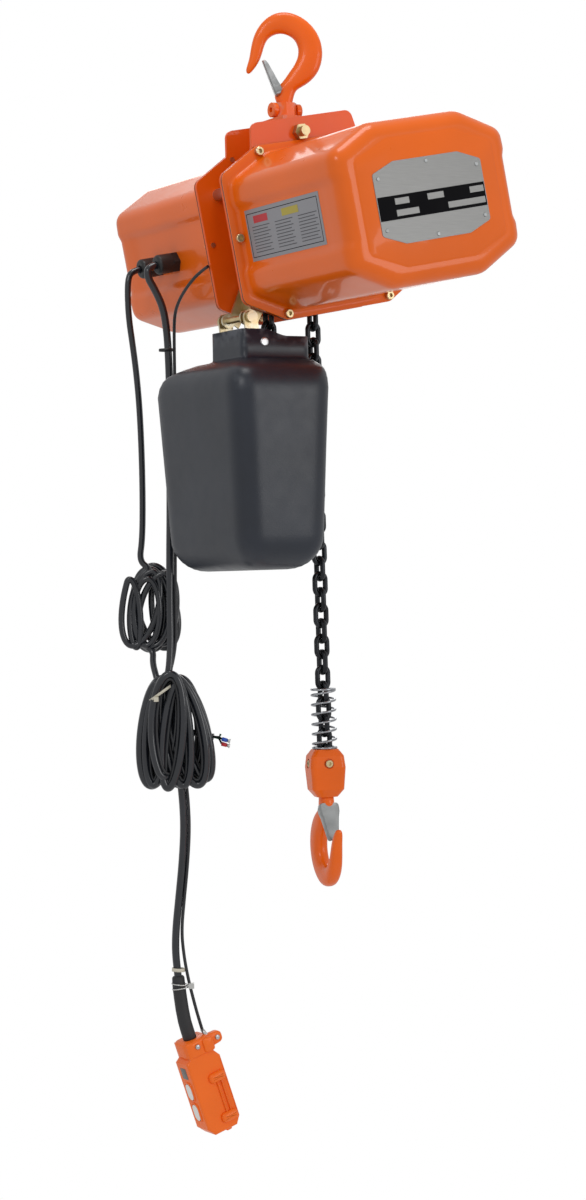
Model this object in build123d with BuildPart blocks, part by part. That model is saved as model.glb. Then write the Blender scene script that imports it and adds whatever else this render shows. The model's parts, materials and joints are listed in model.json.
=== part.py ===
from build123d import *
from math import acos, atan2, cos, degrees, pi, radians, sin, tan
import os

# Electric chain hoist, half-ton class. Millimetres, +Z up, hanging from its top hook.
# Origin: the saddle of the top hook, where the supporting ring or beam clamp bears.
# Y runs along the motor axis. The body's own frame has its origin on the octagon's
# centre, midway between the two side plates; the body hangs tilted about its bolt.

os.makedirs("parts", exist_ok=True)

# Driving dimensions ---------------------------------------------------------------
CHAIN_WIRE = 6.3
CHAIN_PITCH = 19.0
LINK_SLACK = 0.3
LINK_BEND = 7.25
POCKETS = 5

BOLT_DROP = 124.0
BOLT_X, BOLT_Z = -9.1, 113.4
BOLT_R = 6.0
BODY_TILT = 10.2

PLATE_T = 4.0
PLATE_IN = 29.0
PLATE_OUT = PLATE_IN + PLATE_T
PLATE_HALF = (127.5, 104.5)
PLATE_CUT = (54.0, 28.5)
LUG_LEFT, LUG_RIGHT, LUG_TOP = -73.0, 67.0, 132.0

GASKET_T = 1.5
FLANGE_T = 2.0
WALL = 2.0
FRONT_DEPTH = 242.0
REAR_DEPTH = 257.0
NOSE_CREASE = (93.3, 71.9, 46.8, 19.3)
NAMEPLATE = (73.5, 46.4, 29.8, 11.5)
NAMEPLATE_T = 0.8
PLATEAU_T = 1.2
SCREW_SPOTS = [(s * 119.6, 0.0) for s in (-1, 1)] + [(s * 72.2, t * 97.5) for s in (-1, 1) for t in (-1, 1)]

SHEAVE = (-30.0, 0.0)
MOTOR = (36.0, 0.0)
FINE, COARSE = 1.25, 2.0
PINION_TEETH, WHEEL_TEETH, OUTPUT_TEETH = 12, 64, 50
PRESSURE_ANGLE = 25.0

GLAND_Y = (145.0, 190.0)
GLAND_Z = -8.0
GLAND_REACH = 28.0
SIDE_PANEL_X = 112.0

BLOCK_TOP, BLOCK_BOTTOM = -868.0, -926.0
HOOK_SHANK_Z = -84.0
TOP_HOOK_AZIMUTH = -29.7
LOAD_HOOK_AZIMUTH = 79.0

HANGER_PIN = (-74.0, -347.0)
NECK_SCREW = (-69.5, -377.4)
BUCKET_X = (-134.0, -8.0)
BUCKET_HALF_Y = 109.0
BUCKET_TOP, BUCKET_BOTTOM = -418.0, -645.0
NECK_X = (-86.3, -1.4)
NECK_HALF_Y = 37.3
NECK_TOP, NECK_BOTTOM = -363.0, -398.0
BUCKET_WALL = 3.0

POWER_D, PENDANT_D, STRAIN_D = 8.0, 9.5, 4.0

tilt = radians(BODY_TILT)
BODY = Location((0, 0, -BOLT_DROP), (0, -BODY_TILT, 0)) * Location((-BOLT_X, 0, -BOLT_Z))


def in_world(x, y, z):
    dx, dz = x - BOLT_X, z - BOLT_Z
    return (dx * cos(tilt) - dz * sin(tilt), y, dx * sin(tilt) + dz * cos(tilt) - BOLT_DROP)


def in_body(x, z):
    dx, dz = x, z + BOLT_DROP
    return (BOLT_X + dx * cos(tilt) + dz * sin(tilt), BOLT_Z - dx * sin(tilt) + dz * cos(tilt))


# Chain on the pocket wheel: flat links sit low in the pockets, upright ones bridge them.
# Both end on one circle; half a flat link spans 12.8 of it and half an upright one 6.2.
BEARING_RADIUS = 30.94
FLAT_HALF, UPRIGHT_HALF = 12.8, 6.2
FLAT_RADIUS = (BEARING_RADIUS**2 - FLAT_HALF**2) ** 0.5
UPRIGHT_RADIUS = (BEARING_RADIUS**2 - UPRIGHT_HALF**2) ** 0.5
SHEAVE_WORLD = in_world(SHEAVE[0], 0, SHEAVE[1])
RUN_OFFSET = 30.745
RUN_X = SHEAVE_WORLD[0] + RUN_OFFSET
SLACK_X = SHEAVE_WORLD[0] - RUN_OFFSET
RUN_TOP = SHEAVE_WORLD[2] - 0.17
LINKS_DOWN = 35
PIN_Z = RUN_TOP - (LINKS_DOWN - 0.5) * CHAIN_PITCH - 5.65


def across(y):
    """Plane at this Y whose sketch x is +X and y is +Z; extruding goes towards -Y."""
    return Plane.XZ.offset(-y)


def save(piece, name, place=None):
    shape = getattr(piece, "part", piece)
    shape = shape if place is None else shape.moved(place)
    shape.label = name
    export_step(shape, f"parts/{name}.step")


def group(pieces, name, place=None):
    save(Compound(children=[p if place is None else p.moved(place) for p in pieces]), name)


def octagon_points(half_w, half_h, cut_w, cut_h):
    xi, zi = half_w - cut_w, half_h - cut_h
    right = [(xi, half_h), (half_w, zi), (half_w, -zi), (xi, -half_h)]
    return right + [(-x, z) for x, z in reversed(right)]


def octagon(half_w, half_h, cut_w, cut_h, corner, mode=Mode.ADD):
    with BuildSketch(mode=Mode.PRIVATE) as face:
        with BuildLine():
            Polyline(*octagon_points(half_w, half_h, cut_w, cut_h), close=True)
        make_face()
        fillet(face.vertices(), corner)
    return add(face.sketch, mode=mode)


def disc(x, z, y0, y1, radius, bore=0.0):
    """A plain disc or ring along Y from y0 to y1."""
    with BuildPart() as ring:
        with BuildSketch(across(y1)):
            with Locations((x, z)):
                Circle(radius)
                if bore:
                    Circle(bore, mode=Mode.SUBTRACT)
        extrude(amount=y1 - y0)
    return ring.part


def rounded_slab(z, x0, x1, half_y, corner):
    with BuildSketch(Plane.XY.offset(z), mode=Mode.PRIVATE) as level:
        with Locations(((x0 + x1) / 2, 0)):
            RectangleRounded(x1 - x0, 2 * half_y, corner)
    return level.sketch


# Screws ---------------------------------------------------------------------------
def socket_screw(head_r, head_h, shank_r, shank_l, socket_r):
    """Socket-head screw along +Z: head above z=0, shank below."""
    with BuildPart() as screw:
        Cylinder(head_r, head_h, align=(Align.CENTER, Align.CENTER, Align.MIN))
        chamfer(screw.faces().sort_by(Axis.Z)[-1].edges(), 0.6)
        Cylinder(shank_r, shank_l, align=(Align.CENTER, Align.CENTER, Align.MAX))
        with BuildSketch(Plane.XY.offset(head_h)):
            RegularPolygon(socket_r, 6)
        extrude(amount=-head_h * 0.6, mode=Mode.SUBTRACT)
    return screw.part


def facing(x, y, z, direction):
    """Location whose +Z points along direction, with its origin at the point."""
    return Location(Plane(origin=(x, y, z), z_dir=direction))


# Chain ----------------------------------------------------------------------------
def make_link():
    """One link standing along Z in the XZ plane, its middle at the origin."""
    straight = CHAIN_PITCH + LINK_SLACK + CHAIN_WIRE - 2 * LINK_BEND
    r = CHAIN_WIRE / 2
    with BuildPart() as link:
        with Locations((LINK_BEND, 0, 0), (-LINK_BEND, 0, 0)):
            Cylinder(r, straight)
        with Locations((0, 0, straight / 2)):
            Torus(LINK_BEND, r, major_angle=180, rotation=(90, 0, 0), align=None)
        with Locations((0, 0, -straight / 2)):
            Torus(LINK_BEND, r, major_angle=180, rotation=(-90, 0, 0), align=None)
    return link.part


LINK = make_link()


def chain_down(x, top_z, count, first_turned):
    """Links hanging down one vertical line, turned by a right angle each time."""
    spots = []
    for i in range(count):
        angle = 90 if (i % 2 == 0) == first_turned else 0
        spots.append(LINK.moved(Location((x, 0, top_z - CHAIN_PITCH * (i + 0.5)), (0, 0, angle))))
    return spots


def make_chains():
    group(chain_down(RUN_X, RUN_TOP, LINKS_DOWN, False), "chain_run")
    wrapped = []
    step = 180 / POCKETS
    for i in range(POCKETS):
        angle = step * (i + 0.5)
        a = radians(angle)
        flat = i % 2 == 0
        radius = FLAT_RADIUS if flat else UPRIGHT_RADIUS
        spot = Location((SHEAVE_WORLD[0] + radius * cos(a), 0, SHEAVE_WORLD[2] + radius * sin(a)))
        lean = Location((0, 0, 0), (0, -angle, 0))
        roll = Location((0, 0, 0), (0, 0, 90 if flat else 0))
        wrapped.append(LINK.moved(spot * lean * roll))
    slack = chain_down(SLACK_X, RUN_TOP, 17, False)
    low = BUCKET_BOTTOM + BUCKET_WALL
    piles = [rounded_slab(low + 1, -98, -40, 62, 20), rounded_slab(low + 40, -104, -34, 74, 24)]
    piles.append(rounded_slab(low + 58, -84, -40, 44, 18))
    with BuildPart() as pile:
        for lower, upper in zip(piles, piles[1:]):
            add(lower)
            add(upper)
            loft(ruled=True)
    group(wrapped + slack + [pile.part], "slack_chain")


def make_spring():
    """Round-wire limit spring with closed ends, standing on the hook block."""
    wire, mean, turns, height = 1.4, 14.2, 6.0, 74.0
    low = BLOCK_TOP + 0.2 + wire
    coil = Helix(pitch=(height - 2 * wire) / turns, height=height - 2 * wire, radius=mean)
    with BuildPart() as spring:
        with BuildSketch(Plane(origin=coil @ 0, z_dir=coil % 0)):
            Circle(wire)
        sweep(path=coil, is_frenet=True)
        for z in (0, height - 2 * wire):
            with Locations((0, 0, z)):
                Torus(mean, wire)
    save(spring.part.moved(Location((RUN_X, 0, low))), "limit_spring")


# Hooks ----------------------------------------------------------------------------
def hook_plane(origin, azimuth, upward):
    a = radians(azimuth)
    u = Vector(cos(a), sin(a), 0)
    v = Vector(0, 0, 1 if upward else -1)
    return Plane(origin=origin, x_dir=u, z_dir=u.cross(v))


HOOK_BACK = [(9.5, HOOK_SHANK_Z), (13.0, -70.0), (27.2, -61.6), (46.8, -34.9), (40.2, 2.2)]
HOOK_CROWN = [(40.2, 2.2), (27.2, 17.4), (1.0, 27.0), (-28.4, 12.0), (-39.8, -19.6), (-45.8, -41.5)]
HOOK_INSIDE = [(-33.0, -38.5), (-27.3, -28.3), (-20.7, -8.8), (-4.4, 0.0), (16.2, -12.0), (16.2, -33.8)]
HOOK_THROAT = [(16.2, -33.8), (7.6, -43.6), (-6.1, -63.2), (-14.3, -71.0), (-9.5, HOOK_SHANK_Z)]
LATCH_PIVOT = (-7.7, -69.8)
HOOK_HALF_T = 9.0


def make_hook(plane, shank_r, shank_l, nut_r, nut_h, name, nut_name):
    """Forged hook with a turned shank below its neck, and the collar nut on the shank."""
    with BuildPart() as hook:
        with BuildSketch(plane):
            with BuildLine():
                Spline(*HOOK_BACK)
                Spline(*HOOK_CROWN)
                ThreePointArc(HOOK_CROWN[-1], (-42.0, -47.0), HOOK_INSIDE[0])
                Spline(*HOOK_INSIDE)
                Spline(*HOOK_THROAT)
                Line(HOOK_THROAT[-1], HOOK_BACK[0])
            make_face()
        extrude(amount=HOOK_HALF_T, both=True)
        neck = plane.from_local_coords(Vector(0, HOOK_SHANK_Z, 0))
        down = plane.from_local_coords(Vector(0, HOOK_SHANK_Z - 1, 0)) - neck
        with BuildSketch(Plane(origin=neck, z_dir=down)):
            Circle(shank_r)
        extrude(amount=shank_l)
        pivot = plane.from_local_coords(Vector(*LATCH_PIVOT, 0))
        with BuildSketch(Plane(origin=pivot, x_dir=plane.x_dir, z_dir=plane.z_dir)):
            Circle(2.55)
        extrude(amount=HOOK_HALF_T + 1, both=True, mode=Mode.SUBTRACT)
    save(hook, name)
    with BuildPart() as nut:
        with BuildSketch(Plane(origin=neck + down * (shank_l - nut_h - 0.2), z_dir=down)):
            Circle(nut_r)
            Circle(shank_r, mode=Mode.SUBTRACT)
        extrude(amount=nut_h)
    save(nut, nut_name)


def make_latch(plane, name, pin_name):
    """Pressed channel latch with two ears on a rivet pin."""
    px, pz = LATCH_PIVOT
    with BuildPart() as latch:
        with BuildSketch(plane):
            with BuildLine():
                Polyline((px - 5.2, pz - 3), (px + 5.0, pz + 1), (-21.6, -27.0), (-26.0, -28.5),
                         (-22.5, -46), close=True)
            make_face()
            with Locations(LATCH_PIVOT):
                Circle(5.4)
        extrude(amount=HOOK_HALF_T + 2.2, both=True)
        with BuildSketch(plane):
            with BuildLine():
                Polyline((px - 9, pz - 9), (px + 9, pz - 9), (px + 9, pz + 4), (-17.5, -30.0),
                         (-24.0, -36.0), close=True)
            make_face()
        extrude(amount=HOOK_HALF_T + 0.5, both=True, mode=Mode.SUBTRACT)
        with BuildSketch(plane):
            with Locations(LATCH_PIVOT):
                Circle(2.56)
        extrude(amount=HOOK_HALF_T + 4, both=True, mode=Mode.SUBTRACT)
    save(latch, name)
    with BuildPart() as pin:
        with BuildSketch(plane):
            with Locations(LATCH_PIVOT):
                Circle(2.5)
        extrude(amount=HOOK_HALF_T + 3.4, both=True)
        for side in (-1, 1):
            with BuildSketch(plane.offset(side * (HOOK_HALF_T + 2.3))):
                with Locations(LATCH_PIVOT):
                    Circle(3.6)
            extrude(amount=side * 1.1)
    save(pin, pin_name)


# Suspension -----------------------------------------------------------------------
def make_suspension():
    """Cast swivel block in two halves, its collar screws, and the bolt through the plates."""
    halves = []
    for side in (-1, 1):
        with BuildPart() as half:
            with BuildSketch(Plane.XY.offset(-103)):
                Rectangle(36, 27, align=(Align.CENTER, Align.MIN if side > 0 else Align.MAX))
            extrude(amount=-43)
            other_half = (Align.CENTER, Align.MAX if side > 0 else Align.MIN)
            with BuildSketch(Plane.XY.offset(HOOK_SHANK_Z - 0.5)):
                RegularPolygon(14.2, 8, rotation=22.5)
                Rectangle(60, 60, align=other_half, mode=Mode.SUBTRACT)
            extrude(amount=-20)
            with BuildSketch(Plane.XY.offset(HOOK_SHANK_Z)):
                Circle(8.05)
            extrude(amount=-32, mode=Mode.SUBTRACT)
            with BuildSketch(Plane.XY.offset(-97)):
                Circle(11.0)
            extrude(amount=-18, mode=Mode.SUBTRACT)
            with BuildSketch(across(30)):
                with Locations((0, -BOLT_DROP)):
                    Circle(BOLT_R + 0.05)
            extrude(amount=60, mode=Mode.SUBTRACT)
            with BuildSketch(Plane.YZ.offset(-30)):
                with Locations((0, -93)):
                    Circle(3.0)
            extrude(amount=60, mode=Mode.SUBTRACT)
        halves.append(half.part)
    save(halves[0], "suspension_block_front")
    save(halves[1], "suspension_block_rear")
    screw = socket_screw(9.0, 6.5, 2.95, 2.8, 3.6)
    spots = [facing(side * 13.2, 0, -93, (side, 0, 0)) for side in (-1, 1)]
    group([screw.moved(s) for s in spots], "suspension_block_screws")
    with BuildPart() as bolt:
        with BuildSketch(across(PLATE_OUT + 8)):
            with Locations((0, -BOLT_DROP)):
                Circle(BOLT_R)
        extrude(amount=2 * PLATE_OUT + 24)
        for y in (PLATE_OUT + 8, -PLATE_OUT):
            with BuildSketch(across(y)):
                with Locations((0, -BOLT_DROP)):
                    RegularPolygon(9.9, 6, rotation=BODY_TILT)
            extrude(amount=8)
    save(bolt, "suspension_bolt")


# Frame ----------------------------------------------------------------------------
def make_plates():
    for name, y1, inward in (("front_plate", -PLATE_IN, 1), ("rear_plate", PLATE_OUT, -1)):
        with BuildPart() as plate:
            with BuildSketch(across(y1)):
                octagon(*PLATE_HALF, *PLATE_CUT, 12)
                with BuildSketch(mode=Mode.PRIVATE) as lug:
                    with BuildLine():
                        Polyline((LUG_LEFT - 8, 88), (LUG_LEFT, LUG_TOP), (LUG_RIGHT, LUG_TOP),
                                 (LUG_RIGHT + 8, 88), close=True)
                    make_face()
                    fillet(lug.vertices().group_by(Axis.Y)[-1], 10)
                add(lug.sketch)
                with Locations((BOLT_X, BOLT_Z)):
                    Circle(BOLT_R + 0.05, mode=Mode.SUBTRACT)
                with Locations(MOTOR):
                    Circle(14.0, mode=Mode.SUBTRACT)
                with Locations(SHEAVE):
                    Circle(26.0, mode=Mode.SUBTRACT)
                with Locations(*SCREW_SPOTS):
                    Circle(2.95, mode=Mode.SUBTRACT)
                with Locations(*SPACER_SPOTS):
                    Circle(4.05, mode=Mode.SUBTRACT)
            extrude(amount=PLATE_T)
            low, high = (-PLATE_IN, -19.0) if inward > 0 else (19.0, PLATE_IN)
            with BuildSketch(across(high)):
                with Locations(SHEAVE):
                    Circle(30.0)
                    Circle(26.0, mode=Mode.SUBTRACT)
            extrude(amount=high - low)
            if inward < 0:
                with BuildSketch(across(high)):
                    with Locations(MOTOR):
                        Circle(18.0)
                        Circle(14.0, mode=Mode.SUBTRACT)
                extrude(amount=high - low)
                with BuildSketch(across(PLATE_OUT)):
                    with Locations(COUNTER):
                        Circle(6.05)
                extrude(amount=PLATE_T, mode=Mode.SUBTRACT)
        save(plate, name, BODY)
    spacers = []
    for x, z in SPACER_SPOTS:
        with BuildPart() as spacer:
            with BuildSketch(across(PLATE_IN)):
                with Locations((x, z)):
                    Circle(7.5)
            extrude(amount=2 * PLATE_IN)
            with BuildSketch(across(PLATE_OUT)):
                with Locations((x, z)):
                    Circle(4.0)
            extrude(amount=2 * PLATE_OUT)
        spacers.append(spacer.part)
    group(spacers, "frame_spacers", BODY)


def section_points(shrink=0.0):
    """Right half of the deep-drawn covers' section, top to bottom, with its side recess."""
    top, side, recess = 94.0 - shrink, 118.0 - shrink, SIDE_PANEL_X - shrink
    upper = [(62.0, top), (117.0 - shrink, 66.0), (side, 43.0), (recess, 34.0)]
    return upper + [(x, -z) for x, z in reversed(upper)]


def cover_section(shrink=0.0):
    right = section_points(shrink)
    with BuildSketch(mode=Mode.PRIVATE) as face:
        with BuildLine():
            Polyline(*right, *[(-x, z) for x, z in reversed(right)], close=True)
        make_face()
        fillet([v for v in face.vertices() if abs(v.Z) < 1 and abs(v.Y) > 60], 14)
    return face.sketch


def make_cover(name, depth, front):
    """Drawn steel cover: a bolted rim, drafted walls and a raised octagon on its end."""
    start = PLATE_OUT + GASKET_T
    plane = across(-start) if front else Plane(origin=(0, start, 0), x_dir=(-1, 0, 0), z_dir=(0, 1, 0))
    reach = depth - GASKET_T
    with BuildPart() as cover:
        with BuildSketch(plane):
            add(cover_section())
        extrude(amount=reach)
        nose = cover.faces().sort_by(Axis.Y)[0 if front else -1]
        chamfer(nose.edges(), 9)
        with BuildSketch(plane):
            octagon(*PLATE_HALF, *PLATE_CUT, 12)
        extrude(amount=FLANGE_T)
        with BuildSketch(plane.offset(reach)):
            octagon(*NOSE_CREASE, 8)
        extrude(amount=PLATEAU_T)
        with BuildSketch(plane):
            add(cover_section(WALL))
        extrude(amount=reach - 11, mode=Mode.SUBTRACT)
        with BuildSketch(plane):
            with Locations(*SCREW_SPOTS):
                Circle(3.0)
        extrude(amount=FLANGE_T + 6, mode=Mode.SUBTRACT)
        if not front:
            for y in GLAND_Y:
                with BuildSketch(Plane.YZ.offset(-SIDE_PANEL_X - 5)):
                    with Locations((y, GLAND_Z)):
                        Circle(9.0)
                extrude(amount=12, mode=Mode.SUBTRACT)
    save(cover, name, BODY)


def make_cover_fittings():
    gaskets = []
    for y1 in (-PLATE_OUT, PLATE_OUT + GASKET_T):
        with BuildPart() as gasket:
            with BuildSketch(across(y1)):
                octagon(*PLATE_HALF, *PLATE_CUT, 12)
                add(cover_section(WALL), mode=Mode.SUBTRACT)
                with Locations(*SCREW_SPOTS):
                    Circle(3.0, mode=Mode.SUBTRACT)
            extrude(amount=GASKET_T)
        gaskets.append(gasket.part)
    group(gaskets, "cover_gaskets", BODY)
    screw = socket_screw(5.2, 5.5, 2.9, GASKET_T + FLANGE_T + PLATE_T + 1.5, 2.9)
    seat = PLATE_OUT + GASKET_T + FLANGE_T
    spots = [facing(x, side * seat, z, (0, side, 0)) for side in (-1, 1) for x, z in SCREW_SPOTS]
    group([screw.moved(s) for s in spots], "cover_screws", BODY)
    face_y = -(PLATE_OUT + FRONT_DEPTH + PLATEAU_T)
    with BuildPart() as plate:
        with BuildSketch(across(face_y)):
            octagon(*NAMEPLATE, 4)
            with Locations(*RIVET_SPOTS):
                Circle(1.3, mode=Mode.SUBTRACT)
        extrude(amount=NAMEPLATE_T)
    save(plate, "nameplate", BODY)
    rivets = []
    for x, z in RIVET_SPOTS:
        with BuildPart() as rivet:
            with BuildSketch(across(face_y - NAMEPLATE_T)):
                with Locations((x, z)):
                    Circle(2.4)
            extrude(amount=0.9, taper=30)
            with BuildSketch(across(face_y - NAMEPLATE_T)):
                with Locations((x, z)):
                    Circle(1.25)
            extrude(amount=-NAMEPLATE_T)
        rivets.append(rivet.part)
    group(rivets, "nameplate_rivets", BODY)


# Gears ----------------------------------------------------------------------------
PAIR_FINE = FINE * (PINION_TEETH + WHEEL_TEETH) / 2
PAIR_COARSE = COARSE * (PINION_TEETH + OUTPUT_TEETH) / 2
axis_gap = MOTOR[0] - SHEAVE[0]
along = (PAIR_COARSE**2 - PAIR_FINE**2 + axis_gap**2) / (2 * axis_gap)
COUNTER = (SHEAVE[0] + along, (PAIR_COARSE**2 - along**2) ** 0.5)
MESH_COARSE = degrees(atan2(COUNTER[1] - SHEAVE[1], COUNTER[0] - SHEAVE[0]))
MESH_FINE = degrees(atan2(MOTOR[1] - COUNTER[1], MOTOR[0] - COUNTER[0]))
SPACER_SPOTS = [(-100, 58), (104, 55), (104, -60), (60, -88)]
RIVET_SPOTS = [(s * 67, t * 29) for s in (-1, 1) for t in (-1, 1)] + [(0, 41.5), (0, -41.5)]


def gear_outline(module, teeth, phase, backlash=0.3):
    """Involute outline with a tooth centred on the phase angle."""
    pressure = radians(PRESSURE_ANGLE)
    pitch_r = module * teeth / 2
    base_r = pitch_r * cos(pressure)
    root_r, tip_r = pitch_r - 1.25 * module, pitch_r + module
    half = pi / (2 * teeth) - backlash / (2 * pitch_r) + tan(pressure) - pressure
    radii = [max(base_r, root_r) + (tip_r - max(base_r, root_r)) * t for t in (0, 0.35, 0.7, 1)]
    flank = []
    for r in radii:
        alpha = acos(min(1, base_r / r))
        flank.append((r, half - (tan(alpha) - alpha)))
    points = []
    for i in range(teeth):
        middle = radians(phase) + 2 * pi * i / teeth
        tooth = [(root_r, -flank[0][1])] if root_r < base_r else []
        tooth += [(r, -a) for r, a in flank]
        tooth += [(r, a) for r, a in reversed(flank)]
        tooth += [(root_r, flank[0][1])] if root_r < base_r else []
        points += [(r * cos(middle + a), r * sin(middle + a)) for r, a in tooth]
    return points


def gear(centre, module, teeth, phase, y0, y1, bore):
    with BuildPart() as wheel:
        with BuildSketch(across(y1)):
            with Locations(centre):
                with BuildSketch(mode=Mode.PRIVATE) as teeth_face:
                    with BuildLine():
                        Polyline(*gear_outline(module, teeth, phase), close=True)
                    make_face()
                add(teeth_face.sketch)
                if bore:
                    Circle(bore, mode=Mode.SUBTRACT)
        extrude(amount=y1 - y0)
    return wheel.part


def make_gears():
    half_tooth = 180 / PINION_TEETH
    output = gear(SHEAVE, COARSE, OUTPUT_TEETH, MESH_COARSE, 56, 70, 12.0)
    save(output, "output_gear", BODY)
    wheel = gear(COUNTER, FINE, WHEEL_TEETH, MESH_FINE, 39, 51, 9.0)
    save(wheel, "first_gear", BODY)
    pinion = gear(COUNTER, COARSE, PINION_TEETH, MESH_COARSE + 180 + half_tooth, 54, 72, 0)
    shaft = disc(*COUNTER, 51, 80.0, 6.0) + disc(*COUNTER, PLATE_IN, 38, 6.0) + disc(*COUNTER, 38, 51, 9.0)
    shaft = shaft + pinion + disc(*COUNTER, 51, 54, 9.0)
    save(shaft, "countershaft", BODY)
    return gear(MOTOR, FINE, PINION_TEETH, MESH_FINE + 180 + half_tooth, 38, 52, 0)


def make_gear_case():
    """Cast case bolted on the rear plate, closed at its far end."""
    circles = [(SHEAVE, 54.0), (COUNTER, 43.5), (MOTOR, 14.0)]
    with BuildPart() as case:
        for grow, y1, mode in ((3.0, 84.0, Mode.ADD), (0.0, 80.0, Mode.SUBTRACT)):
            with BuildSketch(across(y1)):
                for spot, radius in circles:
                    with Locations(spot):
                        Circle(radius + grow)
                make_hull()
            extrude(amount=y1 - PLATE_OUT, mode=mode)
        with BuildSketch(across(80)):
            with Locations(COUNTER):
                Circle(11)
                Circle(6.05, mode=Mode.SUBTRACT)
        extrude(amount=6)
    save(case, "gear_case", BODY)


def make_sheave():
    """Pocket wheel: flat links lie in its pockets, upright links in the middle groove."""
    seat, groove = FLAT_RADIUS - CHAIN_WIRE / 2 - 0.1, 19.4
    with BuildPart() as sheave:
        with BuildSketch(across(17)):
            with Locations(SHEAVE):
                Circle(31.0)
        extrude(amount=34)
        with BuildSketch(across(3.7)):
            with Locations(SHEAVE):
                Circle(40)
                Circle(groove, mode=Mode.SUBTRACT)
        extrude(amount=7.4, mode=Mode.SUBTRACT)
        for i in range(POCKETS):
            angle = 90 / POCKETS + 360 / POCKETS * i
            a = radians(angle)
            spot = (SHEAVE[0] + (seat + 10) * cos(a), 0, SHEAVE[1] + (seat + 10) * sin(a))
            with Locations(Location(spot, (0, -angle, 0))):
                Box(20, 22.4, 32.4, mode=Mode.SUBTRACT)
        with BuildSketch(across(32)):
            with Locations(SHEAVE):
                Circle(14.95)
        extrude(amount=64)
        with BuildSketch(across(79)):
            with Locations(SHEAVE):
                Circle(12)
        extrude(amount=48)
    return sheave


def make_drive():
    pinion = make_gears()
    make_gear_case()
    save(make_sheave(), "load_sheave", BODY * Location((SHEAVE[0], 0, SHEAVE[1]), (0, 0, 0))
         * Location((0, 0, 0), (0, BODY_TILT, 0)) * Location((-SHEAVE[0], 0, -SHEAVE[1])))
    with BuildPart() as rotor:
        add(disc(*MOTOR, -246, 20, 10.0))
        add(disc(*MOTOR, 20, 38, 6.0))
        add(disc(*MOTOR, -148, -57, 32.4))
        add(pinion)
    save(rotor, "rotor_shaft", BODY)
    rings = [disc(*MOTOR, -186, -178, 17.0, 10.05), disc(*MOTOR, 21, PLATE_OUT, 14.0, 6.05)]
    rings += [disc(*SHEAVE, y, y + 12, 26.0, 15.0) for y in (-32, 20)]
    group(rings, "shaft_bearings", BODY)


def make_motor():
    with BuildPart() as housing:
        with BuildSketch(across(-PLATE_OUT)):
            with Locations(MOTOR):
                Circle(60)
                Circle(54, mode=Mode.SUBTRACT)
        extrude(amount=145)
        with BuildSketch(across(-178)):
            with Locations(MOTOR):
                Circle(60)
                Circle(17, mode=Mode.SUBTRACT)
        extrude(amount=8)
        with BuildSketch(across(-60)):
            with Locations(MOTOR):
                with PolarLocations(61.5, 20):
                    Rectangle(5, 2.4)
        extrude(amount=100)
        with BuildSketch(across(-PLATE_OUT)):
            with Locations(MOTOR):
                Circle(66)
                Circle(54, mode=Mode.SUBTRACT)
        extrude(amount=6)
    save(housing, "motor_housing", BODY)
    with BuildPart() as stator:
        for y1, length, outer in ((-64, 78, 53.95), (-50, 106, 48.0)):
            with BuildSketch(across(y1)):
                with Locations(MOTOR):
                    Circle(outer)
                    Circle(33.0, mode=Mode.SUBTRACT)
            extrude(amount=length)
    save(stator, "stator", BODY)
    save(disc(*MOTOR, -208, -186, 45, 18), "brake_coil", BODY)
    save(disc(*MOTOR, -218, -212, 48, 10.0), "brake_disc", BODY)
    with BuildPart() as fan:
        add(disc(*MOTOR, -242, -224, 16, 10.0))
        add(disc(*MOTOR, -226, -224, 50, 10.0))
        with BuildSketch(across(-226)):
            with Locations(MOTOR):
                with PolarLocations(32, 8):
                    Rectangle(34, 2)
        extrude(amount=15)
    save(fan, "cooling_fan", BODY)


# Chain guide, limit lever and switch ----------------------------------------------
def chain_slot(world_x, half, bottom, height):
    """A slot prism that follows a chain's vertical line, given in the body's frame."""
    x, z = in_body(world_x, bottom)
    return Location((x, 0, z), (0, BODY_TILT, 0)), (2 * half, 2 * half, height)


def make_guide():
    with BuildPart() as guide:
        with BuildSketch(across(PLATE_IN - 0.1)):
            with BuildLine():
                Polyline((-94, -84), (6, -84), (6, -42), (-4, -38), (-60, -38), (-94, -62), close=True)
            make_face()
        extrude(amount=2 * PLATE_IN - 0.2)
        for x in (RUN_X, SLACK_X):
            spot, size = chain_slot(x, 12.2, -300, 140)
            with Locations(spot):
                Box(*size, mode=Mode.SUBTRACT)
    save(guide, "chain_guide", BODY)


def make_lever():
    hole_x = in_body(RUN_X, in_world(-16, 0, -94)[2])[0]
    with BuildPart() as lever:
        with BuildSketch(Plane.XY.offset(-96)):
            with Locations((-3, 0)):
                RectangleRounded(60, 44, 6)
            with Locations((hole_x, 0)):
                Rectangle(27, 27, mode=Mode.SUBTRACT)
        extrude(amount=4)
        for y in (22, -18):
            with BuildSketch(across(y)):
                with Locations(LEVER_PIVOT):
                    Circle(7)
                with Locations((22, -91)):
                    Rectangle(10, 8)
            extrude(amount=4)
        with BuildSketch(across(PLATE_IN)):
            with Locations(LEVER_PIVOT):
                Circle(3.05)
        extrude(amount=2 * PLATE_IN, mode=Mode.SUBTRACT)
    save(lever, "limit_lever", BODY)
    with BuildPart() as switch:
        with BuildSketch(across(10)):
            with Locations((14, -73)):
                Rectangle(13, 22)
        extrude(amount=PLATE_IN + 10)
        with BuildSketch(Plane.XY.offset(-84)):
            with Locations((14, 0)):
                Circle(2.5)
        extrude(amount=-5)
        add(disc(*LEVER_PIVOT, -PLATE_IN, PLATE_IN, 3.0))
    save(switch, "limit_switch", BODY)


LEVER_PIVOT = (28.0, -88.0)


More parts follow.
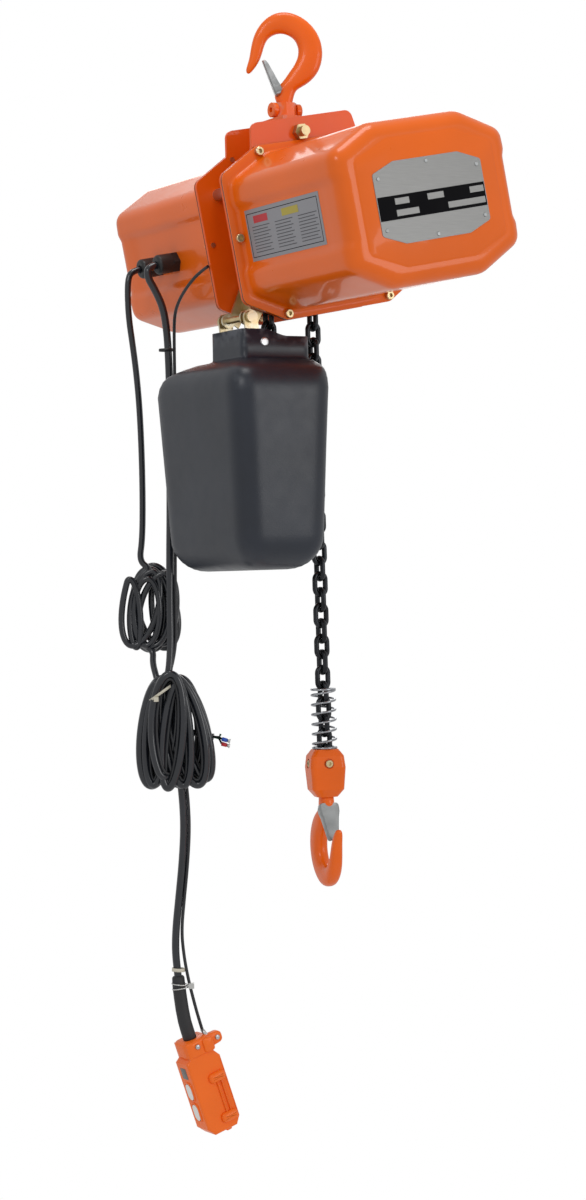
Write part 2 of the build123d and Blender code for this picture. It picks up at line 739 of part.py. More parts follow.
# Electrical panel and glands ------------------------------------------------------
def make_electrics():
    """Panel on standoffs with two reversing contactors, a transformer and a terminal strip."""
    panel = Box(190, 3, 130).moved(Location((0, 100, 0)))
    with BuildPart() as posts:
        with BuildSketch(across(98.5)):
            with Locations((-92, 45), (-92, -45), (85, 45), (85, -45)):
                Circle(5)
        extrude(amount=98.5 - PLATE_OUT)
    pieces = [panel + posts.part]
    for x in (-55, 0):
        with BuildPart() as contactor:
            with Locations((x, 132, 22)):
                Box(44, 60, 70)
                with Locations((0, 0, 0)):
                    Box(46, 30, 50)
        pieces.append(contactor.part)
    with BuildPart() as transformer:
        with Locations((62, 130, 15)):
            Box(50, 56, 62)
        with Locations((62, 160, 15)):
            Cylinder(20, 24, rotation=(90, 0, 0))
    pieces.append(transformer.part)
    with BuildPart() as strip:
        with Locations((-30, 111.5, -42)):
            Box(96, 20, 22)
        with Locations((-30, 121.5, -42)):
            with GridLocations(12, 1, 8, 1):
                Box(2, 8, 26)
    pieces.append(strip.part)
    group(pieces, "control_gear", BODY)


def make_glands():
    """Two cable glands: hexagonal body with its inner lock ring, and a domed nut."""
    glands = []
    for y in GLAND_Y:
        with BuildPart() as body:
            with BuildSketch(Plane.YZ.offset(-SIDE_PANEL_X)):
                with Locations((y, GLAND_Z)):
                    RegularPolygon(13.5, 6)
            extrude(amount=-8)
            with BuildSketch(Plane.YZ.offset(-SIDE_PANEL_X - 8)):
                with Locations((y, GLAND_Z)):
                    Circle(9)
            extrude(amount=22)
            with BuildSketch(Plane.YZ.offset(-SIDE_PANEL_X + 2)):
                with Locations((y, GLAND_Z)):
                    RegularPolygon(13, 6)
            extrude(amount=5)
            with BuildSketch(Plane.YZ.offset(-SIDE_PANEL_X - 8)):
                with Locations((y, GLAND_Z)):
                    Circle(5)
            extrude(amount=22, mode=Mode.SUBTRACT)
        with BuildPart() as nut:
            with BuildSketch(Plane.YZ.offset(-SIDE_PANEL_X - 8)):
                with Locations((y, GLAND_Z)):
                    Circle(12.2)
            extrude(amount=8 - GLAND_REACH)
            fillet(nut.edges().group_by(Axis.X)[0], 4)
            with BuildSketch(Plane.YZ.offset(-SIDE_PANEL_X - 8)):
                with Locations((y, GLAND_Z)):
                    Circle(5)
            extrude(amount=8 - GLAND_REACH, mode=Mode.SUBTRACT)
        glands += [body.part, nut.part]
    group(glands, "cable_glands", BODY)


# Chain container ------------------------------------------------------------------
def make_bracket():
    """Zinc-plated sheet bracket on the guide's end, with two ears for the hanger pin."""
    px, pz = in_body(*HANGER_PIN)
    with BuildPart() as bracket:
        with BuildSketch(across(24)):
            with BuildLine():
                Polyline((-94, -50), (px, pz), (-110, -104), (-94, -84), close=True)
            make_face()
            with Locations((px, pz)):
                Circle(9)
        extrude(amount=48)
        with BuildSketch(across(21)):
            with Locations((-197, -75)):
                Rectangle(194, 200)
        extrude(amount=42, mode=Mode.SUBTRACT)
        with BuildSketch(across(25)):
            with Locations((px, pz)):
                Circle(4.05)
        extrude(amount=50, mode=Mode.SUBTRACT)
    return bracket


def make_hanger():
    px, pz = HANGER_PIN
    sx, sz = NECK_SCREW
    straps = []
    for y1 in (-30.0, 33.0):
        with BuildPart() as strap:
            with BuildSketch(across(y1)):
                with Locations((px, pz), (sx, sz)):
                    Circle(9)
                make_hull()
                with Locations((px, pz)):
                    Circle(4.05, mode=Mode.SUBTRACT)
                with Locations((sx, sz)):
                    Circle(3.0, mode=Mode.SUBTRACT)
            extrude(amount=3)
        straps.append(strap.part)
    web = Box(3, 60, 14).moved(Location((sx - 7, 0, sz - 6)))
    hanger = straps[0] + straps[1] + web
    save(hanger, "container_hanger")
    pin = disc(px, pz, -37, 37, 4.0) + disc(px, pz, -38, -33.4, 7.0) + disc(px, pz, 33.4, 38, 7.0)
    screws = [pin]
    for side in (-1, 1):
        screw = socket_screw(7.5, 3.0, 2.95, 9.5, 2.6)
        screws.append(screw.moved(facing(sx, side * (NECK_HALF_Y + 0.1), sz, (0, side, 0))))
    group(screws, "container_screws")


def container_form(inset):
    """The moulded container's outer form, or its inner one when inset by the wall."""
    x0, x1 = BUCKET_X[0] + inset, BUCKET_X[1] - inset
    half_y = BUCKET_HALF_Y - inset
    low = BUCKET_BOTTOM + inset
    mouth = NECK_BOTTOM - inset
    levels = [
        rounded_slab(low, x0 + 20, x1 - 20, half_y - 22, 14),
        rounded_slab(low + 5, x0 + 12, x1 - 12, half_y - 12, 20),
        rounded_slab(low + 16, x0 + 8, x1 - 8, half_y - 6, 26),
        rounded_slab(BUCKET_TOP - 17, x0, x1, half_y, 26),
        rounded_slab(BUCKET_TOP - 5, x0 + 3, x1 - 1, half_y - 4, 24),
        rounded_slab(BUCKET_TOP + 5, x0 + 10, x1 - 2, half_y - 13, 22),
        rounded_slab(mouth, NECK_X[0] - 8 + inset, NECK_X[1] + 1 - inset, NECK_HALF_Y + 10 - inset, 14),
    ]
    with BuildPart() as form:
        for lower, upper in zip(levels, levels[1:]):
            add(lower)
            add(upper)
            loft(ruled=True)
        with BuildSketch(Plane.XY.offset(mouth - 1)):
            with Locations(((NECK_X[0] + NECK_X[1]) / 2, 0)):
                RectangleRounded(NECK_X[1] - NECK_X[0] - 2 * inset, 2 * (NECK_HALF_Y - inset), 3.5)
        extrude(amount=NECK_TOP - mouth + 1 + (2 if inset else 0))
    return form.part


def make_container():
    shell = container_form(0) - container_form(BUCKET_WALL)
    sx, sz = NECK_SCREW
    shell = shell - disc(sx, sz, -50, 50, 3.0)
    save(shell, "chain_container")


# Hook block -----------------------------------------------------------------------
def make_hook_block():
    """Cast block in two halves round the chain pin and the hook's nut."""
    x = RUN_X
    block = Plane(origin=(x, 0, 0), x_dir=(cos(radians(-15)), sin(radians(-15)), 0), z_dir=(0, 0, 1))
    halves = []
    for side in (-1, 1):
        with BuildPart() as half:
            levels = [(BLOCK_BOTTOM, 13, 12), (BLOCK_BOTTOM + 9, 20, 17), (-890, 22, 19),
                      (-876, 20.5, 17.5), (BLOCK_TOP, 15, 13)]
            for low, high in zip(levels, levels[1:]):
                for z, hw, hd in (low, high):
                    with BuildSketch(block.offset(z)):
                        RectangleRounded(2 * hw, 2 * hd, 6)
                loft(ruled=True)
            with BuildSketch(block.offset(BLOCK_BOTTOM - 1)):
                Rectangle(80, 80, align=(Align.CENTER, Align.MAX if side > 0 else Align.MIN))
            extrude(amount=80, mode=Mode.SUBTRACT)
            with BuildSketch(block.offset(BLOCK_BOTTOM - 1)):
                Circle(8.05)
            extrude(amount=12, mode=Mode.SUBTRACT)
            with BuildSketch(block.offset(BLOCK_BOTTOM + 5)):
                Circle(12.6)
            extrude(amount=9.2, mode=Mode.SUBTRACT)
            with BuildSketch(block.offset(PIN_Z - 11.2)):
                Circle(12.0)
            extrude(amount=60, mode=Mode.SUBTRACT)
            with BuildSketch(Plane(origin=(x, 0, PIN_Z), z_dir=(0, 1, 0))):
                Circle(4.0)
            extrude(amount=15, both=True, mode=Mode.SUBTRACT)
            for spot in BLOCK_SCREW_DIRS:
                with BuildSketch(Plane(origin=(x, 0, -885), z_dir=spot)):
                    Circle(2.5)
                extrude(amount=40, mode=Mode.SUBTRACT)
                with BuildSketch(Plane(origin=Vector(x, 0, -885) + Vector(*spot) * 16.5, z_dir=spot)):
                    Circle(6)
                extrude(amount=14, mode=Mode.SUBTRACT)
        halves.append(half.part)
    save(halves[0], "hook_block_front")
    save(halves[1], "hook_block_rear")
    screw = socket_screw(4.5, 5.0, 2.45, 4.2, 2.4)
    spots = [facing(*(Vector(x, 0, -885) + Vector(*d) * 16.6), d) for d in BLOCK_SCREW_DIRS]
    group([screw.moved(s) for s in spots], "hook_block_screws")
    save(disc(x, PIN_Z, -14.5, 14.5, 3.9), "chain_pin")


BLOCK_SCREW_DIRS = [(cos(radians(a)), sin(radians(a)), 0) for a in (-15, 75, 165, 255)]


# Cords ----------------------------------------------------------------------------
def route_radii(points):
    radii = []
    for a, b, c in zip(points, points[1:], points[2:]):
        before, after = Vector(*b) - Vector(*a), Vector(*c) - Vector(*b)
        turn = radians(before.get_angle(after))
        radii.append(0.45 * min(before.length, after.length) / tan(turn / 2))
    return radii


def tube(points, diameter, name):
    """Cord along straight runs joined by tangent arcs."""
    radii = route_radii(points)
    with BuildPart() as cord:
        with BuildLine() as route:
            FilletPolyline(*points, radius=radii)
        path = route.wire()
        with BuildSketch(Plane(origin=path @ 0, z_dir=path % 0)):
            Circle(diameter / 2)
        sweep(path=path)
    length = path.length
    share = cord.part.volume / (pi * diameter**2 / 4 * length)
    print(f"{name}: length {length:.0f}, volume share {share:.4f}, radii", [round(r) for r in radii])
    return cord.part


def gland_mouth(y):
    return in_world(-SIDE_PANEL_X - GLAND_REACH, y, GLAND_Z)


POWER_ROUTE = [
    gland_mouth(GLAND_Y[1]),
    (-119.5, 190, -269.5), (-124.5, 190, -281), (-125.5, 190, -304), (-124.5, 190, -331),
    (-120.5, 190, -361), (-116.5, 190, -396), (-113.4, 190, -440), (-112.2, 190, -500), (-112.8, 190, -560),
    (-115, 190, -606), (-119.6, 193, -643),
]
POWER_TAIL = [(-114, 184, -748), (-112.6, 174, -762), (-114, 160, -780), (-115, 150, -800)]
PENDANT_ROUTE = [
    gland_mouth(GLAND_Y[0]), (-119, 145, -269.5), (-119.5, 145, -282), (-111, 143, -297), (-102, 140.5, -318),
    (-98, 139, -345), (-96.6, 138.5, -390), (-97.3, 138.5, -450), (-98.9, 139, -510), (-100.2, 139.6, -570),
    (-102.6, 140, -630), (-104.2, 140, -690), (-105.6, 140, -740), (-105, 140, -772),
]
LOWER_ROUTE = [
    (-96.5, 140, -905), (-94, 140, -935), (-93.6, 140, -968), (-97.5, 140, -1010), (-104, 140, -1055),
    (-109, 140, -1090), (-110.6, 140, -1118), (-107.9, 140, -1148),
]
BOOT_ROUTE = [(-107.9, 140, -1148), (-105.6, 140, -1175), (-101.2, 140, -1204.3), (-93.5, 140, -1228)]
STRAIN_TOP = in_world(-130.2, 32, -24)
STRAIN_UPPER = [
    STRAIN_TOP, (-108, 44, -286), (-105, 66, -294), (-101, 92, -308), (-97, 116, -322), (-92.5, 131, -341),
    (-90.2, 134.9, -390), (-90.9, 134.9, -450), (-92.5, 135.4, -510), (-93.8, 136, -570),
    (-96.2, 136.4, -630),
    (-97.8, 136.4, -690), (-99.2, 136.4, -740), (-98.6, 136.4, -772),
]
STRAIN_LOWER = [
    (-90.1, 136.4, -905), (-87.6, 136.4, -935), (-87.2, 136.4, -968), (-91.1, 136.4, -1010),
    (-97.6, 136.4, -1055),
    (-102.4, 136.2, -1092), (-101, 134.4, -1122), (-97.2, 132.4, -1150), (-92, 132, -1176),
    (-85, 133.4, -1200),
    (-79, 135, -1217),
]


def bundle(centre, half_width, half_height, half_depth, name):
    """The outer form of a wound bundle of cord, seen face on along the bundle's axis."""
    a = radians(TOP_HOOK_AZIMUTH + 90)
    axis = Vector(cos(a), sin(a), 0)
    with BuildPart() as form:
        with BuildSketch(Plane(origin=centre, z_dir=axis, x_dir=(0, 0, 1))):
            Ellipse(half_height, half_width)
        extrude(amount=half_depth, both=True)
        fillet(form.edges(), 0.7 * half_depth)
    save(form, name)


# Pendant --------------------------------------------------------------------------
PENDANT = Location((-93.5, 140, -1228), (0, -18, 0))


BUTTON_Z = (-62.0, -90.0)


def make_pendant():
    """Two-shell push-button station: collar on top, buttons on its narrow -X face."""
    top, bottom = 0.0, -122.0
    half_x, half_y = 22.0, 17.0
    halves = []
    for side in (-1, 1):
        with BuildPart() as shell:
            with BuildSketch(Plane.XZ):
                with BuildLine():
                    Polyline((-16, top), (18, top), (18, -20), (half_x + 3, -30), (half_x + 3, -112),
                             (half_x - 4, bottom), (-14, bottom), (-half_x, -112), (-half_x, -66),
                             (-half_x, -24),
                             (-16, -20), close=True)
                make_face()
            extrude(amount=half_y, both=True)
            rims = shell.edges().filter_by(Axis.Y, reverse=True)
            fillet([e for e in rims if abs(abs(e.center().Y) - half_y) < 0.1], 3)
            with BuildSketch(Plane.XZ):
                with BuildLine():
                    Polyline((-13, -23), (15, -23), (half_x, -33), (half_x, -110), (half_x - 6, bottom + 3),
                             (-12, bottom + 3), (3 - half_x, -110), (3 - half_x, -26), close=True)
                make_face()
            extrude(amount=half_y - 3, both=True, mode=Mode.SUBTRACT)
            with BuildSketch(Plane.XY):
                Circle(8.6)
            extrude(amount=-30, mode=Mode.SUBTRACT)
            for z in BUTTON_Z:
                with BuildSketch(Plane.YZ.offset(-half_x - 2)):
                    with Locations((0, z)):
                        SlotOverall(22, 14, rotation=90)
                extrude(amount=12, mode=Mode.SUBTRACT)
            with BuildSketch(Plane.XY.offset(10)):
                Rectangle(100, 60, align=(Align.CENTER, Align.MAX if side > 0 else Align.MIN))
            extrude(amount=-150, mode=Mode.SUBTRACT)
        halves.append(shell.part)
    save(halves[0], "pendant_shell_front", PENDANT)
    save(halves[1], "pendant_shell_rear", PENDANT)
    for z, name in zip(BUTTON_Z, ("up_button", "down_button")):
        with BuildPart() as button:
            with BuildSketch(Plane.YZ.offset(-half_x - 1.5)):
                with Locations((0, z)):
                    SlotOverall(21.4, 13.4, rotation=90)
            extrude(amount=10)
            with BuildSketch(Plane.YZ.offset(-half_x + 5)):
                with Locations((0, z)):
                    SlotOverall(25, 17, rotation=90)
            extrude(amount=3.5)
        save(button, name, PENDANT)


def make_cords():
    group([tube(POWER_ROUTE, POWER_D, "power_cord"), tube(POWER_TAIL, POWER_D, "power_tail")], "power_cord")
    save(tube(PENDANT_ROUTE, PENDANT_D, "pendant_cord_upper"), "pendant_cord_upper")
    save(tube(LOWER_ROUTE, PENDANT_D, "pendant_cord_lower"), "pendant_cord_lower")
    save(tube(BOOT_ROUTE, 17.0, "pendant_boot"), "pendant_boot")
    wire = [tube(STRAIN_UPPER, STRAIN_D, "strain_upper"), tube(STRAIN_LOWER, STRAIN_D, "strain_lower")]
    group(wire, "strain_wire")
    bundle((-109, 190, -694), 42, 58, 13, "power_coil")
    bundle((-100, 140, -846), 46, 77, 24, "cord_hank")


def main():
    make_chains()
    make_spring()
    top = hook_plane((0, 0, 0), TOP_HOOK_AZIMUTH, True)
    make_hook(top, 8.0, 29, 10.9, 11.0, "top_hook", "top_hook_nut")
    make_latch(top, "top_hook_latch", "top_latch_pin")
    low = hook_plane((RUN_X, 0, BLOCK_BOTTOM + HOOK_SHANK_Z), LOAD_HOOK_AZIMUTH, False)
    make_hook(low, 8.0, 14, 12.5, 8.5, "load_hook", "load_hook_nut")
    make_latch(low, "load_hook_latch", "load_latch_pin")
    make_suspension()
    make_plates()
    make_cover("front_cover", FRONT_DEPTH, True)
    make_cover("rear_cover", REAR_DEPTH, False)
    make_cover_fittings()
    make_drive()
    make_motor()
    make_lever()
    make_guide()
    make_electrics()
    make_glands()
    save(make_bracket(), "container_bracket", BODY)
    make_hanger()
    make_container()
    make_hook_block()
    make_pendant()
    make_cords()


main()
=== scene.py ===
import bpy
import json
import numpy as np
from math import atan2, cos, hypot, pi, radians, sin, tan
from mathutils import Matrix, Vector


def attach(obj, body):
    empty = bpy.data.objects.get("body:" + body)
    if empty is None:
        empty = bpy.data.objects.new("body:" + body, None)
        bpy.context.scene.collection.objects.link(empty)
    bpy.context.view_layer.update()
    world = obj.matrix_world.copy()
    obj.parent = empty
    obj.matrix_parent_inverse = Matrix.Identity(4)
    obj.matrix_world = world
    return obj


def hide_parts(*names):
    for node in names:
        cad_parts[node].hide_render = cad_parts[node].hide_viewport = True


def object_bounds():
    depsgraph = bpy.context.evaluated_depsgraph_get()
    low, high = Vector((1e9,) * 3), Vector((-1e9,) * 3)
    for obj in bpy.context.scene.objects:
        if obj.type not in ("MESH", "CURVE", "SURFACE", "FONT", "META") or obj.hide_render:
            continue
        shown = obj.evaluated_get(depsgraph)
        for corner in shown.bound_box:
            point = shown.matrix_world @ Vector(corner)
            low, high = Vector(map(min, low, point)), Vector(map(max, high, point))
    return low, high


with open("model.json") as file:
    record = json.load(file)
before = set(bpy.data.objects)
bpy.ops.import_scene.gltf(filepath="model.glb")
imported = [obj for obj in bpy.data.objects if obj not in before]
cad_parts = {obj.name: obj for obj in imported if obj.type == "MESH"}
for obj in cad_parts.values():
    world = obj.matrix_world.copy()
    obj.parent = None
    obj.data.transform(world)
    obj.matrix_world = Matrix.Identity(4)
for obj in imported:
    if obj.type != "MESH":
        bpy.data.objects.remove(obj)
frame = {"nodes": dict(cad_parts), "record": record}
before = [list(v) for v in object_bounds()]

# Lay-out shared with the part, in metres ------------------------------------------
TILT = radians(10.2)
BOLT = (-0.0091, 0.1134)
SHEAVE_X = -0.00049
RUN_X = SHEAVE_X + 0.030745
FACE = Vector((0.8686, -0.4955, 0.0)).normalized()
AWAY = Vector((0.4955, 0.8686, 0.0)).normalized()
UP = Vector((0, 0, 1))


def in_world(x, y, z):
    dx, dz = x - BOLT[0], z - BOLT[1]
    return Vector((dx * cos(TILT) - dz * sin(TILT), y, dx * sin(TILT) + dz * cos(TILT) - 0.124))


def mm(*points):
    return [Vector(p) / 1000 for p in points]


# Camera ---------------------------------------------------------------------------
right = Vector((0.868593, -0.494708, -0.028481))
upward = Vector((0.029632, -0.005518, 0.999546))
toward = -Vector((0.49464, 0.869042, -0.009866))
camera = bpy.data.objects.new("camera", bpy.data.cameras.new("camera"))
bpy.context.scene.collection.objects.link(camera)
camera.matrix_world = Matrix((
    (right.x, upward.x, toward.x, -1.59971),
    (right.y, upward.y, toward.y, -2.79597),
    (right.z, upward.z, toward.z, -0.65347),
    (0, 0, 0, 1),
))
camera.data.lens = 79.68
camera.data.clip_end = 50
bpy.context.scene.camera = camera


# Materials ------------------------------------------------------------------------
def material(name, colour, rough=0.4, metal=0.0, coat=0.0, vary=0.12, vary_scale=9.0, bump=0.1,
             bump_scale=400.0, wear=None, wear_at=0.56, streak=None, glance=0.5):
    """Principled surface with cloudy colour, uneven roughness, fine bump and worn edges."""
    mat = bpy.data.materials.new(name)
    mat.use_nodes = True
    nodes, links = mat.node_tree.nodes, mat.node_tree.links
    shader = nodes["Principled BSDF"]
    shader.inputs["Metallic"].default_value = metal
    shader.inputs["Coat Weight"].default_value = coat
    shader.inputs["Specular IOR Level"].default_value = glance
    shader.inputs["Coat Roughness"].default_value = 0.06
    place = nodes.new("ShaderNodeTexCoord")
    stretch = nodes.new("ShaderNodeMapping")
    stretch.inputs["Scale"].default_value = streak or (1, 1, 1)
    links.new(place.outputs["Object"], stretch.inputs["Vector"])

    def noise(scale, detail=4.0):
        node = nodes.new("ShaderNodeTexNoise")
        node.inputs["Scale"].default_value = scale
        node.inputs["Detail"].default_value = detail
        links.new(stretch.outputs["Vector"], node.inputs["Vector"])
        return node.outputs["Fac"]

    def ramp(source, low, high, at=(0.3, 0.7)):
        node = nodes.new("ShaderNodeValToRGB")
        node.color_ramp.elements[0].position, node.color_ramp.elements[1].position = at
        node.color_ramp.elements[0].color, node.color_ramp.elements[1].color = low, high
        links.new(source, node.inputs["Fac"])
        return node.outputs["Color"]

    dark = [c * (1 - vary) for c in colour] + [1]
    light = [min(1, c * (1 + vary)) for c in colour] + [1]
    tint = ramp(noise(vary_scale), dark, light)
    shine = noise(vary_scale * 4, 6)
    spread = nodes.new("ShaderNodeMapRange")
    spread.inputs["To Min"].default_value = max(0.03, rough * 0.75)
    spread.inputs["To Max"].default_value = min(1, rough * 1.3)
    links.new(shine, spread.inputs["Value"])
    links.new(spread.outputs["Result"], shader.inputs["Roughness"])
    if wear:
        shape = nodes.new("ShaderNodeNewGeometry")
        edge = ramp(shape.outputs["Pointiness"], (0, 0, 0, 1), (1, 1, 1, 1), (wear_at, wear_at + 0.08))
        patch = ramp(noise(60, 8), (0, 0, 0, 1), (1, 1, 1, 1), (0.45, 0.6))
        both = nodes.new("ShaderNodeMath")
        both.operation = "MULTIPLY"
        links.new(edge, both.inputs[0])
        links.new(patch, both.inputs[1])
        mix = nodes.new("ShaderNodeMix")
        mix.data_type = "RGBA"
        links.new(both.outputs[0], mix.inputs["Factor"])
        links.new(tint, mix.inputs["A"])
        mix.inputs["B"].default_value = (*wear, 1)
        tint = mix.outputs["Result"]
    links.new(tint, shader.inputs["Base Color"])
    relief = nodes.new("ShaderNodeBump")
    relief.inputs["Strength"].default_value = bump
    relief.inputs["Distance"].default_value = 0.0006
    links.new(noise(bump_scale, 3), relief.inputs["Height"])
    links.new(relief.outputs["Normal"], shader.inputs["Normal"])
    return mat


ORANGE = (0.82, 0.132, 0.001)
MATS = {
    "orange": material("enamel", ORANGE, 0.3, coat=0.4, glance=0.25, vary=0.05, bump=0.05, bump_scale=160),
    # A darker, redder copy of the orange enamel: painted shade for the frame plates that lie between the
    # covers.
    "orange_dark": material("enamel_painted_shade", (0.8, 0.1, 0.001), 0.42, coat=0.3, glance=0.25, vary=0.05,
                            bump=0.06, bump_scale=160),
    "guide": material("enamel_cast", (0.6, 0.06, 0.005), 0.5, coat=0.5, vary=0.12, bump=0.3, bump_scale=260,
                      wear=(0.35, 0.3, 0.28)),
    "forged": material("enamel_forged", (0.85, 0.128, 0.001), 0.34, coat=0.3, glance=0.25, vary=0.08,
                       bump=0.22, bump_scale=110, wear=(0.45, 0.4, 0.38), wear_at=0.58),
    "latch_grey": material("zinc_sheet", (0.3, 0.31, 0.31), 0.38, metal=0.9, vary=0.2, vary_scale=40,
                           bump=0.12, wear=(0.7, 0.7, 0.7)),
    "steel": material("turned_steel", (0.55, 0.55, 0.56), 0.3, metal=1.0, vary=0.1, bump=0.1,
                      streak=(1, 14, 1)),
    "yellow_zinc": material("yellow_zinc", (0.62, 0.5, 0.28), 0.32, metal=0.95, vary=0.3, vary_scale=45,
                            bump=0.1, wear=(0.75, 0.72, 0.6)),
    "chain_black": material("chain_steel", (0.028, 0.03, 0.034), 0.28, metal=0.75, vary=0.4, vary_scale=70,
                            bump=0.15, wear=(0.3, 0.3, 0.32), wear_at=0.6),
    "chrome": material("spring_steel", (0.36, 0.37, 0.39), 0.2, metal=1.0, vary=0.08, bump=0.05),
    "rubber": material("rubber", (0.02, 0.02, 0.022), 0.55, vary=0.15, bump=0.1, bump_scale=500),
    "cord_black": material("cord_sheath", (0.009, 0.011, 0.016), 0.22, vary=0.2, vary_scale=30, bump=0.03,
                           bump_scale=300, coat=0.5),
    "strain": material("strain_sheath", (0.016, 0.017, 0.02), 0.36, vary=0.3, vary_scale=30, bump=0.1),
    "container": material("moulded_polymer", (0.014, 0.018, 0.028), 0.34, vary=0.16, vary_scale=14, bump=0.2,
                          bump_scale=900, wear=(0.12, 0.13, 0.15), wear_at=0.53),
    "pendant": material("pendant_shell", (0.95, 0.16, 0.008), 0.4, vary=0.05, bump=0.12, bump_scale=700,
                        coat=0.15, glance=0.3),
    "button_white": material("button_cap", (0.8, 0.8, 0.77), 0.4, vary=0.04, bump=0.08),
    "label": material("label_plate", (0.2, 0.2, 0.195), 0.34, metal=0.75, vary=0.06, vary_scale=60, bump=0.06,
                      streak=(1, 1, 40)),
    "print": material("printed_film", (0.26, 0.26, 0.28), 0.45, vary=0.03, bump=0.02, coat=0.2),
    "print_line": material("print_line", (0.07, 0.07, 0.08), 0.6, vary=0.05),
    "print_yellow": material("print_yellow", (0.42, 0.34, 0.05), 0.5, vary=0.05),
    "cast_alloy": material("cast_alloy", (0.5, 0.5, 0.51), 0.5, metal=0.85, vary=0.15, bump=0.35,
                           bump_scale=300),
    "stator": material("stator_stack", (0.3, 0.26, 0.23), 0.45, metal=0.7, vary=0.2, bump=0.4,
                       streak=(1, 90, 1)),
    "coil": material("coil_copper", (0.55, 0.24, 0.09), 0.4, metal=0.8, vary=0.2, bump=0.3),
    "lining": material("brake_lining", (0.1, 0.09, 0.08), 0.8, vary=0.3, bump=0.4),
    "fan": material("fan_plastic", (0.04, 0.04, 0.045), 0.5, vary=0.1),
    "electrics": material("electrical_plastic", (0.1, 0.11, 0.12), 0.5, vary=0.2, vary_scale=30),
    "gland": material("nylon_gland", (0.014, 0.014, 0.015), 0.42, vary=0.2, bump=0.12),
    # Black print on labels and leads; also used as painted shade for the neck hole and drain hole discs.
    "ink": material("black_print_and_painted_hole_shade", (0.006, 0.006, 0.007), 0.75, vary=0.1, bump=0.03, glance=0.05),
    "tie": material("nylon_tie", (0.62, 0.58, 0.47), 0.5, vary=0.08),
    "blue": material("sleeve_blue", (0.02, 0.09, 0.5), 0.4, vary=0.1),
    "red": material("sleeve_red", (0.5, 0.02, 0.03), 0.4, vary=0.1),
    "green": material("lead_green", (0.02, 0.09, 0.05), 0.45, vary=0.15),
    "tin": material("tinned_brass", (0.6, 0.6, 0.58), 0.3, metal=1.0, vary=0.1),
    "copper": material("copper_washer", (0.62, 0.3, 0.17), 0.34, metal=0.95, vary=0.35, vary_scale=120),
}
MATS["hook_orange"] = MATS["forged"]
SLOT_OF = {row["node"]: row["material_slot"] for row in frame["record"]["subparts"]}
# The frame plates get the darker enamel copy as painted shade, where the covers shadow them.
PAINTED_SHADE_PARTS = {"front_plate": "orange_dark", "rear_plate": "orange_dark"}
for node, obj in frame["nodes"].items():
    for place in obj.material_slots:
        place.material = MATS[PAINTED_SHADE_PARTS.get(node, SLOT_OF[node])]


# Mesh helpers ---------------------------------------------------------------------
def piece(name, verts, faces, mat, body, stands_for=(), smooth=True):
    mesh = bpy.data.meshes.new(name)
    mesh.from_pydata([tuple(v) for v in verts], [], faces)
    mesh.update()
    mesh.materials.append(MATS[mat])
    obj = bpy.data.objects.new(name, mesh)
    bpy.context.scene.collection.objects.link(obj)
    if smooth:
        for face in mesh.polygons:
            face.use_smooth = True
    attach(obj, body)
    if stands_for:
        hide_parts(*stands_for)
    return obj


def loft(rings, cap_start=True, cap_end=True):
    count = len(rings[0])
    verts = [v for ring in rings for v in ring]
    faces = []
    for i in range(len(rings) - 1):
        for j in range(count):
            k = (j + 1) % count
            faces.append((i * count + j, i * count + k, (i + 1) * count + k, (i + 1) * count + j))
    if cap_start:
        faces.append(tuple(reversed(range(count))))
    if cap_end:
        last = (len(rings) - 1) * count
        faces.append(tuple(range(last, last + count)))
    return verts, faces


def rounded(points, radii, steps=6):
    """Closed outline with each corner replaced by an arc."""
    out = []
    total = len(points)
    for i, (x, z) in enumerate(points):
        ax, az = points[i - 1]
        bx, bz = points[(i + 1) % total]
        la, lb = hypot(ax - x, az - z), hypot(bx - x, bz - z)
        ua, ub = ((ax - x) / la, (az - z) / la), ((bx - x) / lb, (bz - z) / lb)
        half = atan2(abs(ua[0] * ub[1] - ua[1] * ub[0]), ua[0] * ub[0] + ua[1] * ub[1]) / 2
        cut = min(radii[i] / max(tan(half), 0.05), 0.45 * la, 0.45 * lb)
        for s in range(steps + 1):
            t = s / steps
            w0, w2 = (1 - t) ** 2, t * t
            out.append((x + ua[0] * cut * w0 + ub[0] * cut * w2, z + ua[1] * cut * w0 + ub[1] * cut * w2))
    return out


def shrink(points, inset):
    """Moves every edge of a counter-clockwise outline inwards."""
    out = []
    total = len(points)
    for i in range(total):
        (ax, az), (x, z), (bx, bz) = points[i - 1], points[i], points[(i + 1) % total]
        n1 = Vector((-(z - az), x - ax)).normalized()
        n2 = Vector((-(bz - z), bx - x)).normalized()
        both = (n1 + n2) / (1 + n1.dot(n2))
        out.append((x + both.x * inset, z + both.y * inset))
    return out


def polar(outline, angles):
    """Radius of a star-shaped outline at each angle."""
    pts = np.array(outline)
    nxt = np.roll(pts, -1, axis=0)
    out = []
    for a in angles:
        d = np.array([cos(a), sin(a)])
        e = nxt - pts
        det = d[0] * -e[:, 1] + d[1] * e[:, 0]
        det[abs(det) < 1e-12] = 1e-12
        t = (pts[:, 0] * -e[:, 1] + pts[:, 1] * e[:, 0]) / det
        u = (d[0] * pts[:, 1] - d[1] * pts[:, 0]) / det
        hit = (t > 0) & (u >= -1e-6) & (u <= 1 + 1e-6)
        r = t[hit].max()
        out.append((r * d[0], r * d[1]))
    return out


# Cords ----------------------------------------------------------------------------
def cord(name, points, radius, mat, body, stands_for=()):
    data = bpy.data.curves.new(name, "CURVE")
    data.dimensions = "3D"
    data.bevel_depth = radius
    data.bevel_resolution = 5
    data.resolution_u = 8
    data.use_fill_caps = True
    spline = data.splines.new("NURBS")
    spline.points.add(len(points) - 1)
    for spot, p in zip(spline.points, points):
        spot.co = (*p, 1)
    spline.order_u = 3
    spline.use_endpoint_u = True
    data.materials.append(MATS[mat])
    obj = bpy.data.objects.new(name, data)
    bpy.context.scene.collection.objects.link(obj)
    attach(obj, body)
    if stands_for:
        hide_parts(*stands_for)
    return obj


